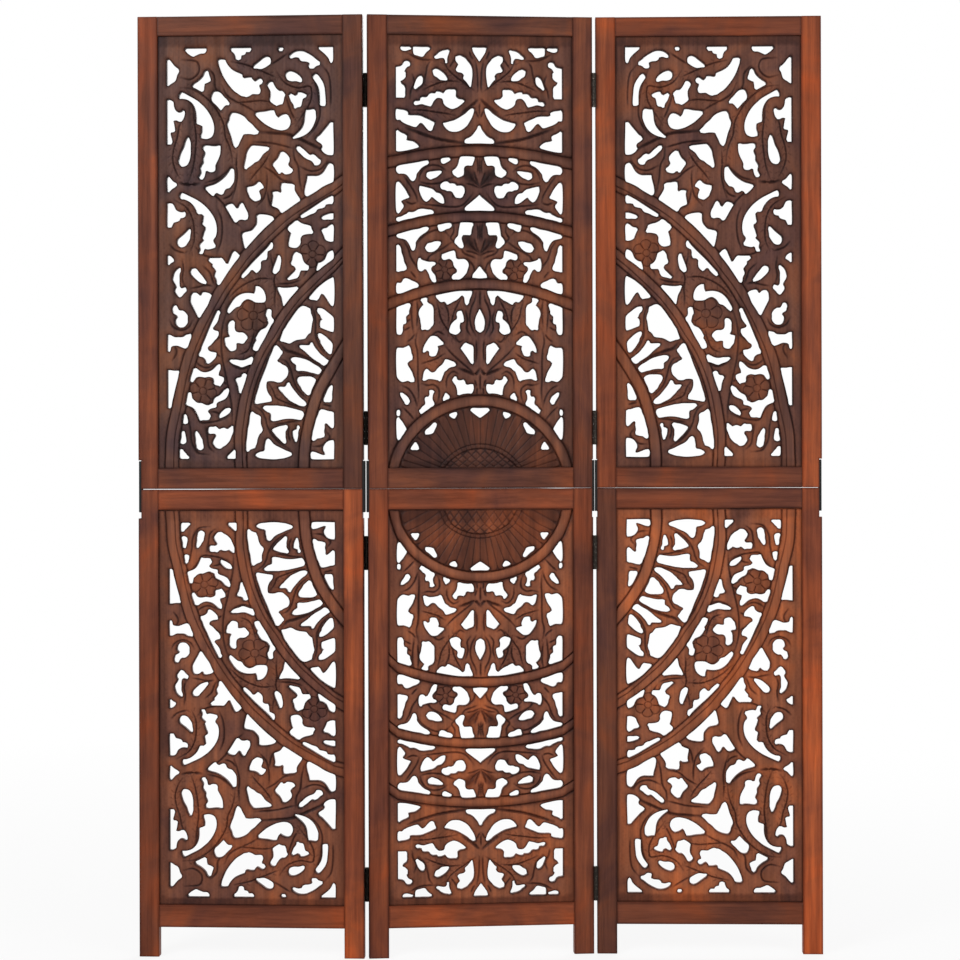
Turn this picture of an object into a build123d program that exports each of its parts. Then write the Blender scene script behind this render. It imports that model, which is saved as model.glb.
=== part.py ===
from build123d import *
import math
import os

os.makedirs("parts", exist_ok=True)

# Folding jali screen: three carved panels hinged side by side, in millimetres.
# +Z is up and the floor is at Z = 0. The front faces -Y, and X runs from the left panel to the right.
# Each panel is two frames, one standing on the other, and each frame holds one pierced fret board.
# The screen stands in a shallow zigzag: its left fold comes forward and its right fold goes back.

# ---- the screen as a whole ----
SCREEN_HEIGHT = 1650.0
PANEL_WIDTH = 396.5
UPPER_FRAME_HEIGHT = 829.0
FRAME_GAP = 1.5             # light between a lower frame and the upper one that stands over it
FOOT_HEIGHT = 52.0          # how far the lower stiles run on below their rail
LEFT_TURN = 3.0             # degrees each panel is turned from a straight line when the screen stands
CENTRE_TURN = 5.0
RIGHT_TURN = 1.5
FOLDED_ANGLE = 180.0        # from flat to face against face

# ---- frame timber ----
FRAME_THICKNESS = 20.0
STILE_WIDTH = 35.0
UPPER_TOP_RAIL = 34.0
UPPER_BOTTOM_RAIL = 36.0
LOWER_TOP_RAIL = 35.0
LOWER_BOTTOM_RAIL = 39.0
EDGE_EASE = 1.0             # small flat planed along every long edge
GROOVE_WIDTH = 8.0
GROOVE_DEPTH = 6.0
TENON_LENGTH = 20.0
TENON_SHOULDER = 8.0        # from the outer edge of a rail to its tenon
TENON_CLEARANCE = 0.5       # left at the bottom of a mortise

# ---- fret boards ----
BOARD_THICKNESS = 12.0
BOARD_MARGIN = 18.0         # plain wood between the frame and the openings
BOARD_CLEARANCE = 0.3       # all round, so that the board can move with the weather
SLIVER = 3.6                # a corner is sawn if its triangle is over this deep on the opening's own breadth
SMALLEST_SAWN = 12.0        # breadth of the smallest opening that is sawn; smaller ones are left to the carver

# ---- butt hinges ----
HINGE_HEIGHT = 60.0
KNUCKLES = 5
KNUCKLE_CLEARANCE = 0.2     # between one knuckle and the next
BARREL_RADIUS = 4.0
BARREL_FLATS = 8            # the rolled barrel is drawn with this many flats
PIN_RADIUS = 2.0
PIN_CLEARANCE = 0.05
LEAF_THICKNESS = 1.5
LEAF_DEPTH = 17.0           # how far a leaf is let in across the edge of a stile
HINGE_STANDOFF = 4.5        # from the face of the frame to the axis of the pin
UPPER_HINGE_TOP_DROP = 129.0        # top of the upper frame to the middle of its top hinge
UPPER_HINGE_BOTTOM_RISE = 106.0     # bottom of the upper frame to the middle of its bottom hinge
LOWER_HINGE_TOP_DROP = 112.0        # top of the lower frame to the middle of its top hinge
LOWER_HINGE_BOTTOM_RISE = 125.0     # floor to the middle of the bottom hinge

# ---- mending plates that tie an upper frame to a lower one ----
PLATE_HEIGHT = 88.0
PLATE_WIDTH = 16.0
PLATE_THICKNESS = 4.0
PLATE_NOTCH_SPARE = 7.0             # the notch is longer than the plate by this much at each end
PLATE_FLAT_CLEARANCE = 0.3          # plate to middle of the gap when the panels are flat
OUTER_NOTCH_DEPTH = 5.0

# ---- worked out from the sizes above ----
PANEL_GAP = 2 * (BARREL_RADIUS - LEAF_THICKNESS)
INNER_NOTCH_DEPTH = PLATE_THICKNESS - (PANEL_GAP / 2 - PLATE_FLAT_CLEARANCE)
UPPER_FRAME_BOTTOM = SCREEN_HEIGHT - UPPER_FRAME_HEIGHT
LOWER_FRAME_TOP = UPPER_FRAME_BOTTOM - FRAME_GAP
MID_JOINT = (UPPER_FRAME_BOTTOM + LOWER_FRAME_TOP) / 2
FRONT = -FRAME_THICKNESS / 2
BACK = FRAME_THICKNESS / 2
OPENING_HALF = PANEL_WIDTH / 2 - STILE_WIDTH
HINGE_MIDDLES = {
    "top": SCREEN_HEIGHT - UPPER_HINGE_TOP_DROP,
    "above_middle": UPPER_FRAME_BOTTOM + UPPER_HINGE_BOTTOM_RISE,
    "below_middle": LOWER_FRAME_TOP - LOWER_HINGE_TOP_DROP,
    "bottom": LOWER_HINGE_BOTTOM_RISE,
}
# For each half: the frame's bottom and top, where its opening begins and ends, and its rails' widths.
HALVES = {
    "upper": dict(
        low=UPPER_FRAME_BOTTOM,
        high=SCREEN_HEIGHT,
        rail_low=UPPER_FRAME_BOTTOM,
        low_rail=UPPER_BOTTOM_RAIL,
        high_rail=UPPER_TOP_RAIL,
    ),
    "lower": dict(
        low=0.0,
        high=LOWER_FRAME_TOP,
        rail_low=FOOT_HEIGHT,
        low_rail=LOWER_BOTTOM_RAIL,
        high_rail=LOWER_TOP_RAIL,
    ),
}

# ---- drawings of the fret openings ----
# Each line is one opening: its corners in whole millimetres, across and up from the lower left corner of
# the drawing, with indented lines carrying on. The side drawing serves the left and the right panel. The
# centre drawing is the left half of a board, and the openings that lie on its middle line end there.
# A board fits its drawing to its own field. Lower boards turn it upside down, and right-hand boards turn
# it left to right.
SIDE_OPENINGS = """
31,720 33,723 68,723 69,719 66,714 58,713 51,710 46,708 40,711 34,716
112,723 146,723 147,719 144,715 138,715 136,711 130,709 129,703 125,701 120,703 119,708 117,713 112,718
194,720 196,723 201,723 203,720 201,716 196,716
214,704 214,708 219,713 226,716 236,716 245,712 253,707 260,701 266,696 266,691 260,689 255,685 249,685
  247,688 248,695 243,697 235,698 232,700 230,704 224,705 217,703
264,723 289,723 289,700 288,696 286,694 284,696 281,703 275,710 267,717 265,719
0,703 3,704 6,701 13,692 20,686 21,682 18,676 16,669 14,665 8,661 2,657 0,657
44,656 46,660 52,664 58,669 63,675 66,682 69,684 72,681 74,674 76,668 76,665 71,662 66,660 65,655
  64,648 61,646 57,648 50,652 46,654
89,701 91,703 98,703 101,702 104,696 108,690 113,685 120,681 127,678 131,676 132,671 134,670 141,671
  147,671 149,667 152,664 155,665 159,668 162,669 165,667 167,663 165,659 161,657 161,654 163,648 162,643
  160,641 153,641 149,641 144,638 138,636 135,637 130,638 124,642 117,647 109,656 102,666 97,675 93,685
  90,694
150,689 152,692 158,697 163,701 168,705 174,707 179,705 181,699 180,694 175,690 170,687 164,685 156,686
  152,686
207,673 208,678 213,681 219,680 225,677 231,672 235,666 235,662 233,661 225,663 217,663 211,665 208,669
254,669 255,673 258,676 261,675 266,669 271,661 274,652 275,643 276,630 276,622 275,619 270,619 266,621
  266,628 266,638 265,647 262,656 257,664
175,657 177,661 181,663 184,662 187,656 191,650 195,647 199,647 203,644 206,639 204,634 203,628 201,623
  196,622 191,620 186,623 181,627 179,630 180,637 180,646 177,652
212,639 215,642 219,640 222,638 226,640 228,644 232,644 238,642 243,639 242,635 237,632 235,626 234,621
  232,618 227,617 224,615 221,616 220,622 216,628 214,633
77,634 78,640 81,646 85,647 90,646 95,642 100,636 105,631 109,625 108,622 103,622 100,620 96,615 94,613
  91,616 86,622 79,629
21,636 22,642 25,646 28,645 35,641 44,636 52,631 59,625 66,618 72,610 77,601 81,590 82,581 81,573
  78,567 73,564 68,563 62,564 59,565 59,570 61,578 61,586 57,588 52,590 51,593 51,602 50,612 47,621
  42,628 36,632 28,634 22,634
0,632 3,633 8,631 11,628 12,621 14,615 18,611 23,611 27,614 30,613 31,610 30,603 28,598 25,594 21,594
  17,596 13,596 11,595 12,591 13,585 14,578 12,576 7,575 6,573 8,564 9,558 7,554 2,554 0,554
105,589 108,597 110,605 113,609 118,609 125,607 131,604 136,600 141,594 148,588 154,581 160,575 158,571
  152,570 145,571 137,571 133,570 131,566 127,558 124,551 121,548 119,547 116,551 114,557 112,565 110,572
  107,580
154,605 155,609 160,610 170,611 180,613 186,613 188,608 190,603 193,600 197,603 201,605 206,606 210,604
  213,599 215,593 214,586 211,581 206,578 199,577 193,578 186,580 178,584 170,589 163,595 157,601
218,565 220,562 225,563 232,565 239,568 246,573 252,580 256,588 259,597 259,604 258,611 255,614 246,613
  242,613 241,609 240,602 239,593 236,584 231,577 225,571
283,590 286,591 289,590 289,534 288,533 281,533 276,535 271,539 268,544 270,549 269,552 265,555 261,558
  259,561 261,565 266,569 271,575 276,581 280,586
35,566 37,567 39,563 41,556 41,547 41,538 40,530 38,523 34,517 29,515 25,515 22,518 20,523 21,530
  24,540 29,550 32,560
63,550 66,552 71,552 78,551 85,551 89,552 93,551 93,543 92,535 89,527 86,521 84,516 84,510 83,507
  80,505 74,505 70,507 67,506 66,501 65,497 62,492 58,492 55,496 57,500 59,504 59,508 58,512 60,517
  63,522 63,530 65,535 66,540 63,545
0,496 2,498 5,495 10,489 16,485 17,482 14,479 8,475 3,470 0,471
66,476 67,479 73,481 80,483 88,487 96,493 102,499 107,506 110,511 113,511 116,509 117,502 117,494
  116,487 113,482 109,477 103,475 100,472 98,467 95,465 91,466 87,468 84,467 81,463 79,463 74,467 70,471
22,461 23,467 25,469 30,467 38,463 46,459 53,455 60,450 67,444 74,436 80,427 84,418 86,408 86,399
  84,391 81,387 80,384 82,379 84,376 83,372 77,370 70,369 66,370 64,368 63,364 61,361 56,361 55,364
  57,368 57,372 56,377 58,380 62,384 63,386 61,389 62,393 64,400 66,405 66,409 62,412 61,414 62,420
  63,428 60,431 55,431 52,433 50,438 47,444 43,449 37,454 30,457 24,458
0,450 2,451 8,450 11,447 13,443 15,439 19,436 25,435 30,436 32,432 31,427 28,425 23,424 21,420 17,418
  11,416 9,412 7,408 1,408 0,409
101,444 104,447 109,449 113,449 117,445 120,441 123,442 126,448 129,451 132,449 136,441 140,433 141,427
  140,422 136,420 130,421 125,420 122,417 120,416 117,417 113,423 108,432
139,473 139,478 142,479 148,480 154,483 158,487 161,487 165,483 168,478 168,476 162,473 160,470 162,464
  163,460 162,456 158,454 153,453 148,456 144,460 141,467
134,514 135,521 137,530 139,540 143,547 147,551 155,551 165,550 173,549 178,547 177,543 173,540 167,535
  163,529 159,524 153,521 147,516 141,512 138,509 135,510
184,519 187,523 191,527 194,532 197,539 201,540 205,538 210,533 213,528 213,523 211,518 211,516 214,512
  218,509 219,506 216,502 210,500 205,500 201,503 198,503 197,501 194,501 190,507 186,513 184,516
225,546 226,549 230,549 234,546 239,542 244,537 248,534 253,535 257,533 262,528 267,524 267,520 264,516
  259,515 256,516 254,520 251,523 244,526 238,530 232,536 227,541
244,497 252,497 260,497 266,499 271,503 275,509 279,516 282,519 286,518 289,515 289,487 287,485 280,482
  270,477 260,470 250,464 244,461 241,462 239,467 240,478 243,490
183,469 186,470 192,470 196,468 198,470 198,478 199,484 202,485 210,484 218,483 222,480 222,472 226,464
  231,456 231,453 225,449 215,442 205,435 200,432 197,434 194,439 189,442 184,444 182,446 183,455 184,463
232,424 232,428 236,431 244,436 253,442 262,448 271,454 280,459 286,462 289,460 289,451 287,447 281,447
  276,446 274,442 270,440 262,438 258,433 255,431 249,429 241,425 235,423
268,423 270,426 277,429 284,431 289,431 289,421 287,420 279,420 271,420
130,395 132,398 139,400 146,402 151,407 155,413 156,420 156,428 159,430 168,430 178,428 184,425 186,421
  181,416 172,408 160,396 150,385 141,375 137,370 135,371 133,377 131,387
17,382 18,387 22,391 28,396 33,401 37,405 40,405 41,401 40,394 39,387 35,380 31,375 26,373 21,374
  18,378
0,358 2,359 7,356 11,351 11,348 6,345 3,342 0,343
9,317 10,323 12,329 16,334 20,337 23,336 23,331 21,325 21,316 21,308 22,303 24,301 27,302 31,303 33,299
  33,296 29,292 25,287 22,285 19,286 16,290 13,295 13,299 15,303 14,307 11,312
40,331 42,335 47,336 51,334 55,329 60,323 65,316 68,311 67,308 62,309 55,312 49,317 44,322 41,326
40,283 41,289 44,293 49,293 53,291 56,288 58,289 60,293 63,294 69,293 74,291 77,288 74,281 70,271
  65,263 60,255 57,250 55,249 53,250 50,256 47,262 43,270 40,277
71,350 73,354 80,354 88,354 94,354 98,350 102,344 105,344 107,349 110,356 113,363 116,366 120,364
  126,358 124,354 117,345 109,334 101,322 94,311 91,307 88,306 86,309 85,316 82,323 83,328 84,331 81,336
  78,340 78,344 75,346
128,320 129,324 133,329 140,337 150,348 160,358 168,366 176,375 180,381 182,381 184,377 183,370 179,367
  175,365 174,360 174,355 172,350 166,349 163,346 163,340 162,334 158,329 155,327 152,329 149,332 146,332
  142,327 137,322 132,318
183,329 184,336 187,344 190,352 192,358 195,358 197,355 198,348 197,340 195,332 192,328 188,325 185,326
208,317 212,321 216,325 221,330 223,334 221,338 216,341 215,345 217,351 218,357 221,362 224,364 228,362
  233,359 235,353 237,347 241,342 246,339 246,334 244,331 239,331 233,331 231,328 229,322 226,318 219,316
  211,314
209,405 211,409 216,413 222,418 226,419 230,416 236,413 244,411 250,408 251,404 254,398 252,395 247,395
  240,394 235,392 232,387 232,380 230,375 225,371 218,371 212,373 211,378 212,386 214,394 215,397 211,401
268,401 270,404 277,406 282,410 286,412 289,409 289,382 286,381 280,382 275,385 273,390 270,397
259,332 260,338 262,344 268,346 273,350 276,356 278,361 283,365 287,366 289,362 289,352 285,348 278,343
  270,337 264,332 260,330
191,301 193,302 200,301 209,301 218,302 225,303 228,300 226,297 220,290 213,282 206,273 203,269 201,270
  200,275 198,285 194,293
246,282 247,285 252,291 260,300 268,307 276,313 283,317 287,319 289,317 289,270 287,268 284,270 280,276
  275,284 271,289 268,290 266,287 263,281 260,278 255,279 249,280
104,259 104,263 107,269 110,274 114,280 120,286 127,290 135,292 143,292 150,291 152,296 153,304 157,304
  163,301 168,295 171,286 171,279 169,276 160,275 152,276 147,279 142,281 138,281 133,278 130,275 126,269
  120,267 115,263 111,259 107,256
10,270 12,271 16,270 17,268 19,264 21,262 25,262 29,260 33,256 35,252 35,247 35,241 33,237 29,233
  24,232 19,233 16,236 14,241 14,246 16,249 17,250 16,253 13,255 10,257 9,261 8,265
0,219 4,219 8,217 12,215 17,215 22,215 27,216 31,219 35,220 40,221 41,219 41,214 39,209 37,203 35,198
  33,196 31,195 27,196 22,198 17,200 12,200 8,199 6,197 5,192 3,189 1,190 0,191
88,262 91,260 92,257 90,253 89,248 87,242 83,236 79,231 80,228 84,226 88,225 89,223 89,219 86,213
  82,209 78,204 74,200 71,198 70,195 72,191 76,189 82,188 85,187 85,185 84,180 81,176 77,172 73,169
  70,168 67,170 66,174 64,177 60,180 55,181 54,183 54,186 57,192 59,199 62,206 65,213 71,228 77,242
  84,257 86,261
112,244 114,244 117,241 117,236 117,230 119,225 123,223 128,223 132,222 137,218 139,215 139,212 136,208
  133,204 131,203 125,204 121,204 120,203 120,198 119,193 116,191 112,190 108,191 104,196 101,200 100,205
  99,209 99,213 101,214 106,215 108,217 106,220 105,225 105,231 105,237 108,242
107,173 109,175 114,175 119,175 125,174 131,174 137,176 143,179 146,180 148,179 149,176 148,172 146,167
  142,166 139,165 134,163 131,162 127,162 123,164 117,166 111,169
173,263 176,264 179,263 181,261 181,256 181,251 183,247 185,245 185,243 184,240 181,236 175,224 169,212
  162,200 157,191 155,190 151,191 148,193 148,196 150,202 152,206 154,209 153,213 155,217 157,221 160,225
  162,227 166,229 170,231 173,235 175,239 174,244 173,249 171,252 171,256 172,260
232,268 235,269 240,268 244,266 248,264 249,261 250,255 252,250 253,244 252,240 251,234 250,227 249,222
  245,219 242,215 240,212 238,211 231,210 225,209 220,207 215,204 212,203 208,204 202,206 197,207 195,209
  196,212 198,218 201,226 205,232 209,239 214,246 218,252 223,259 228,265
261,265 264,265 269,264 274,261 279,257 284,253 288,249 289,247 289,225 288,223 286,223 280,225 275,227
  270,229 266,231 265,234 265,239 266,243 269,245 267,248 265,253 262,256 260,261
261,219 263,221 267,220 272,217 276,214 281,209 285,205 287,201 287,196 286,189 285,185 283,184 280,185
  276,189 272,194 269,199 266,204 265,209 262,214
229,199 231,200 238,200 245,200 247,201 248,204 250,205 252,204 254,200 257,195 261,190 266,184 272,179
  277,175 280,173 279,170 276,166 272,164 269,165 264,169 259,172 253,176 247,181 241,187 235,192 230,196
214,176 216,178 221,179 228,178 236,176 242,174 248,171 254,167 261,163 265,160 268,156 266,152 263,149
  260,149 254,151 249,152 242,154 234,155 226,155 223,157 223,160 223,163 223,165 221,167 217,170 215,173
226,142 228,144 234,145 240,145 246,145 251,144 255,142 258,139 257,136 255,131 252,125 250,120 249,116
  247,113 245,112 242,113 238,117 234,121 231,127 227,133 225,139
44,159 46,160 50,160 54,157 59,154 64,153 70,154 75,156 79,159 82,162 85,165 88,167 91,167 92,165
  92,159 90,154 89,150 89,147 92,146 95,145 98,143 98,139 97,136 95,133 93,130 91,128 89,129 86,130
  82,131 80,133 80,138 79,142 76,144 72,145 64,144 59,145 53,145 49,143 47,140 44,136 41,136 39,138
  39,142 41,149 43,155
0,157 4,157 10,156 15,156 19,156 20,154 19,150 18,144 16,136 14,128 12,120 10,111 8,103 7,97 6,92 4,90
  2,90 0,91
119,142 121,143 126,144 128,146 129,149 132,151 136,150 138,148 137,144 135,137 133,131 131,125 129,120
  128,116 126,116 124,117 123,122 122,129 120,135 118,140
186,199 188,200 191,199 195,195 198,191 200,189 200,186 197,182 194,177 191,174 192,171 196,169 200,166
  206,163 209,159 210,154 209,148 207,144 202,139 199,136 196,135 190,135 184,137 176,137 173,136 172,132
  172,126 173,121 175,116 177,113 180,109 181,105 181,102 178,101 172,100 166,99 160,98 155,97 152,98
  151,101 152,106 153,111 155,117 158,127 160,134 165,147 171,162 177,179 181,188 184,196
192,126 194,127 198,127 203,127 206,130 207,133 210,135 212,134 214,130 217,125 220,121 224,116 228,111
  233,106 238,102 241,98 241,95 238,93 234,93 229,94 223,97 217,100 212,103 207,108 203,112 199,117
  195,121
282,128 285,130 287,128 287,124 286,115 286,107 285,102 283,100 277,100 273,100 271,102 271,106 273,111
  276,118 279,124
35,117 37,118 39,118 41,116 42,111 43,107 46,104 49,101 53,99 58,99 61,98 65,96 70,95 74,97 78,99
  79,103 81,107 83,109 87,111 90,113 94,117 97,121 100,123 103,125 106,124 107,121 106,116 104,111
  101,107 96,104 91,102 87,100 85,97 85,93 83,91 78,90 73,88 70,85 71,82 73,80 75,76 74,74 72,70 68,69
  61,69 57,68 55,69 53,74 51,79 49,83 46,88 41,92 36,94 32,96 31,98 32,103 33,109
27,74 27,77 29,80 31,79 33,77 34,73 35,68 35,64 33,63 30,62 27,63 26,64 26,68
23,46 24,49 27,50 29,49 30,46 31,41 32,35 32,31 31,29 27,27 24,27 22,28 21,30 22,35 23,40
47,47 48,49 50,50 52,48 55,44 57,40 60,35 61,29 62,24 62,20 59,17 56,16 53,17 50,20 49,25 48,30 48,36
  47,42
20,15 21,18 23,18 26,17 28,14 31,11 34,7 37,4 37,2 35,1 28,1 23,1 21,2 20,6 20,11
71,56 73,57 79,57 83,58 86,56 88,54 90,53 92,54 95,55 99,55 101,54 104,53 106,55 109,57 111,59 114,58
  114,55 114,49 112,43 110,38 108,33 105,29 101,25 96,22 92,19 87,19 83,21 80,25 78,29 79,33 81,37 83,40
  83,43 81,45 76,45 72,45 70,48 70,52
89,75 90,79 93,83 96,86 100,89 104,90 108,90 110,88 109,84 107,81 103,78 98,75 93,73 91,72
103,4 104,6 107,9 110,12 113,15 115,17 117,16 118,14 118,8 118,2 116,1 109,1 104,1
136,16 136,19 136,28 137,36 138,45 139,54 141,63 142,71 143,79 145,83 147,84 150,82 154,79 159,77
  162,74 162,70 162,64 163,59 165,53 165,50 163,47 160,44 158,40 156,34 155,28 153,23 152,20 149,19
  144,17 141,14 138,13
165,90 167,93 170,94 177,94 184,94 190,94 197,93 205,92 213,90 221,88 228,86 234,84 236,82 237,79
  236,75 234,71 232,69 229,69 223,70 215,71 208,71 200,70 192,68 186,67 182,67 179,69 179,73 179,78
  178,81 173,83 169,86
181,52 184,54 189,56 195,58 201,59 205,60 208,59 209,56 207,52 205,48 205,44 205,38 206,33 206,29
  204,27 201,28 198,31 193,36 189,40 185,45 182,49
217,47 217,49 220,51 223,52 224,53 224,56 225,59 228,59 230,56 229,53 228,51 227,47 227,42 226,36
  225,32 224,30 221,31 220,34 218,39
152,7 153,9 156,11 161,13 166,14 168,17 168,21 169,27 170,32 172,35 174,36 177,35 180,32 183,28 188,24
  194,21 200,18 206,15 211,13 215,11 216,8 214,6 209,4 203,2 196,1 188,0 178,0 168,1 160,2 155,4
250,36 251,42 252,49 254,56 256,64 258,71 261,78 263,84 266,87 269,87 274,86 280,84 286,83 289,81
  289,78 289,58 288,55 286,54 284,55 281,58 278,61 275,63 273,61 273,56 272,48 273,42 272,39 266,37
  260,36 256,33 253,32 251,33
248,10 250,13 252,13 257,12 262,10 267,8 271,7 273,8 272,12 270,16 270,21 272,25 275,29 280,32 285,33
  288,33 289,31 289,0 288,0 251,0 249,1 248,5
"""
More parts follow.
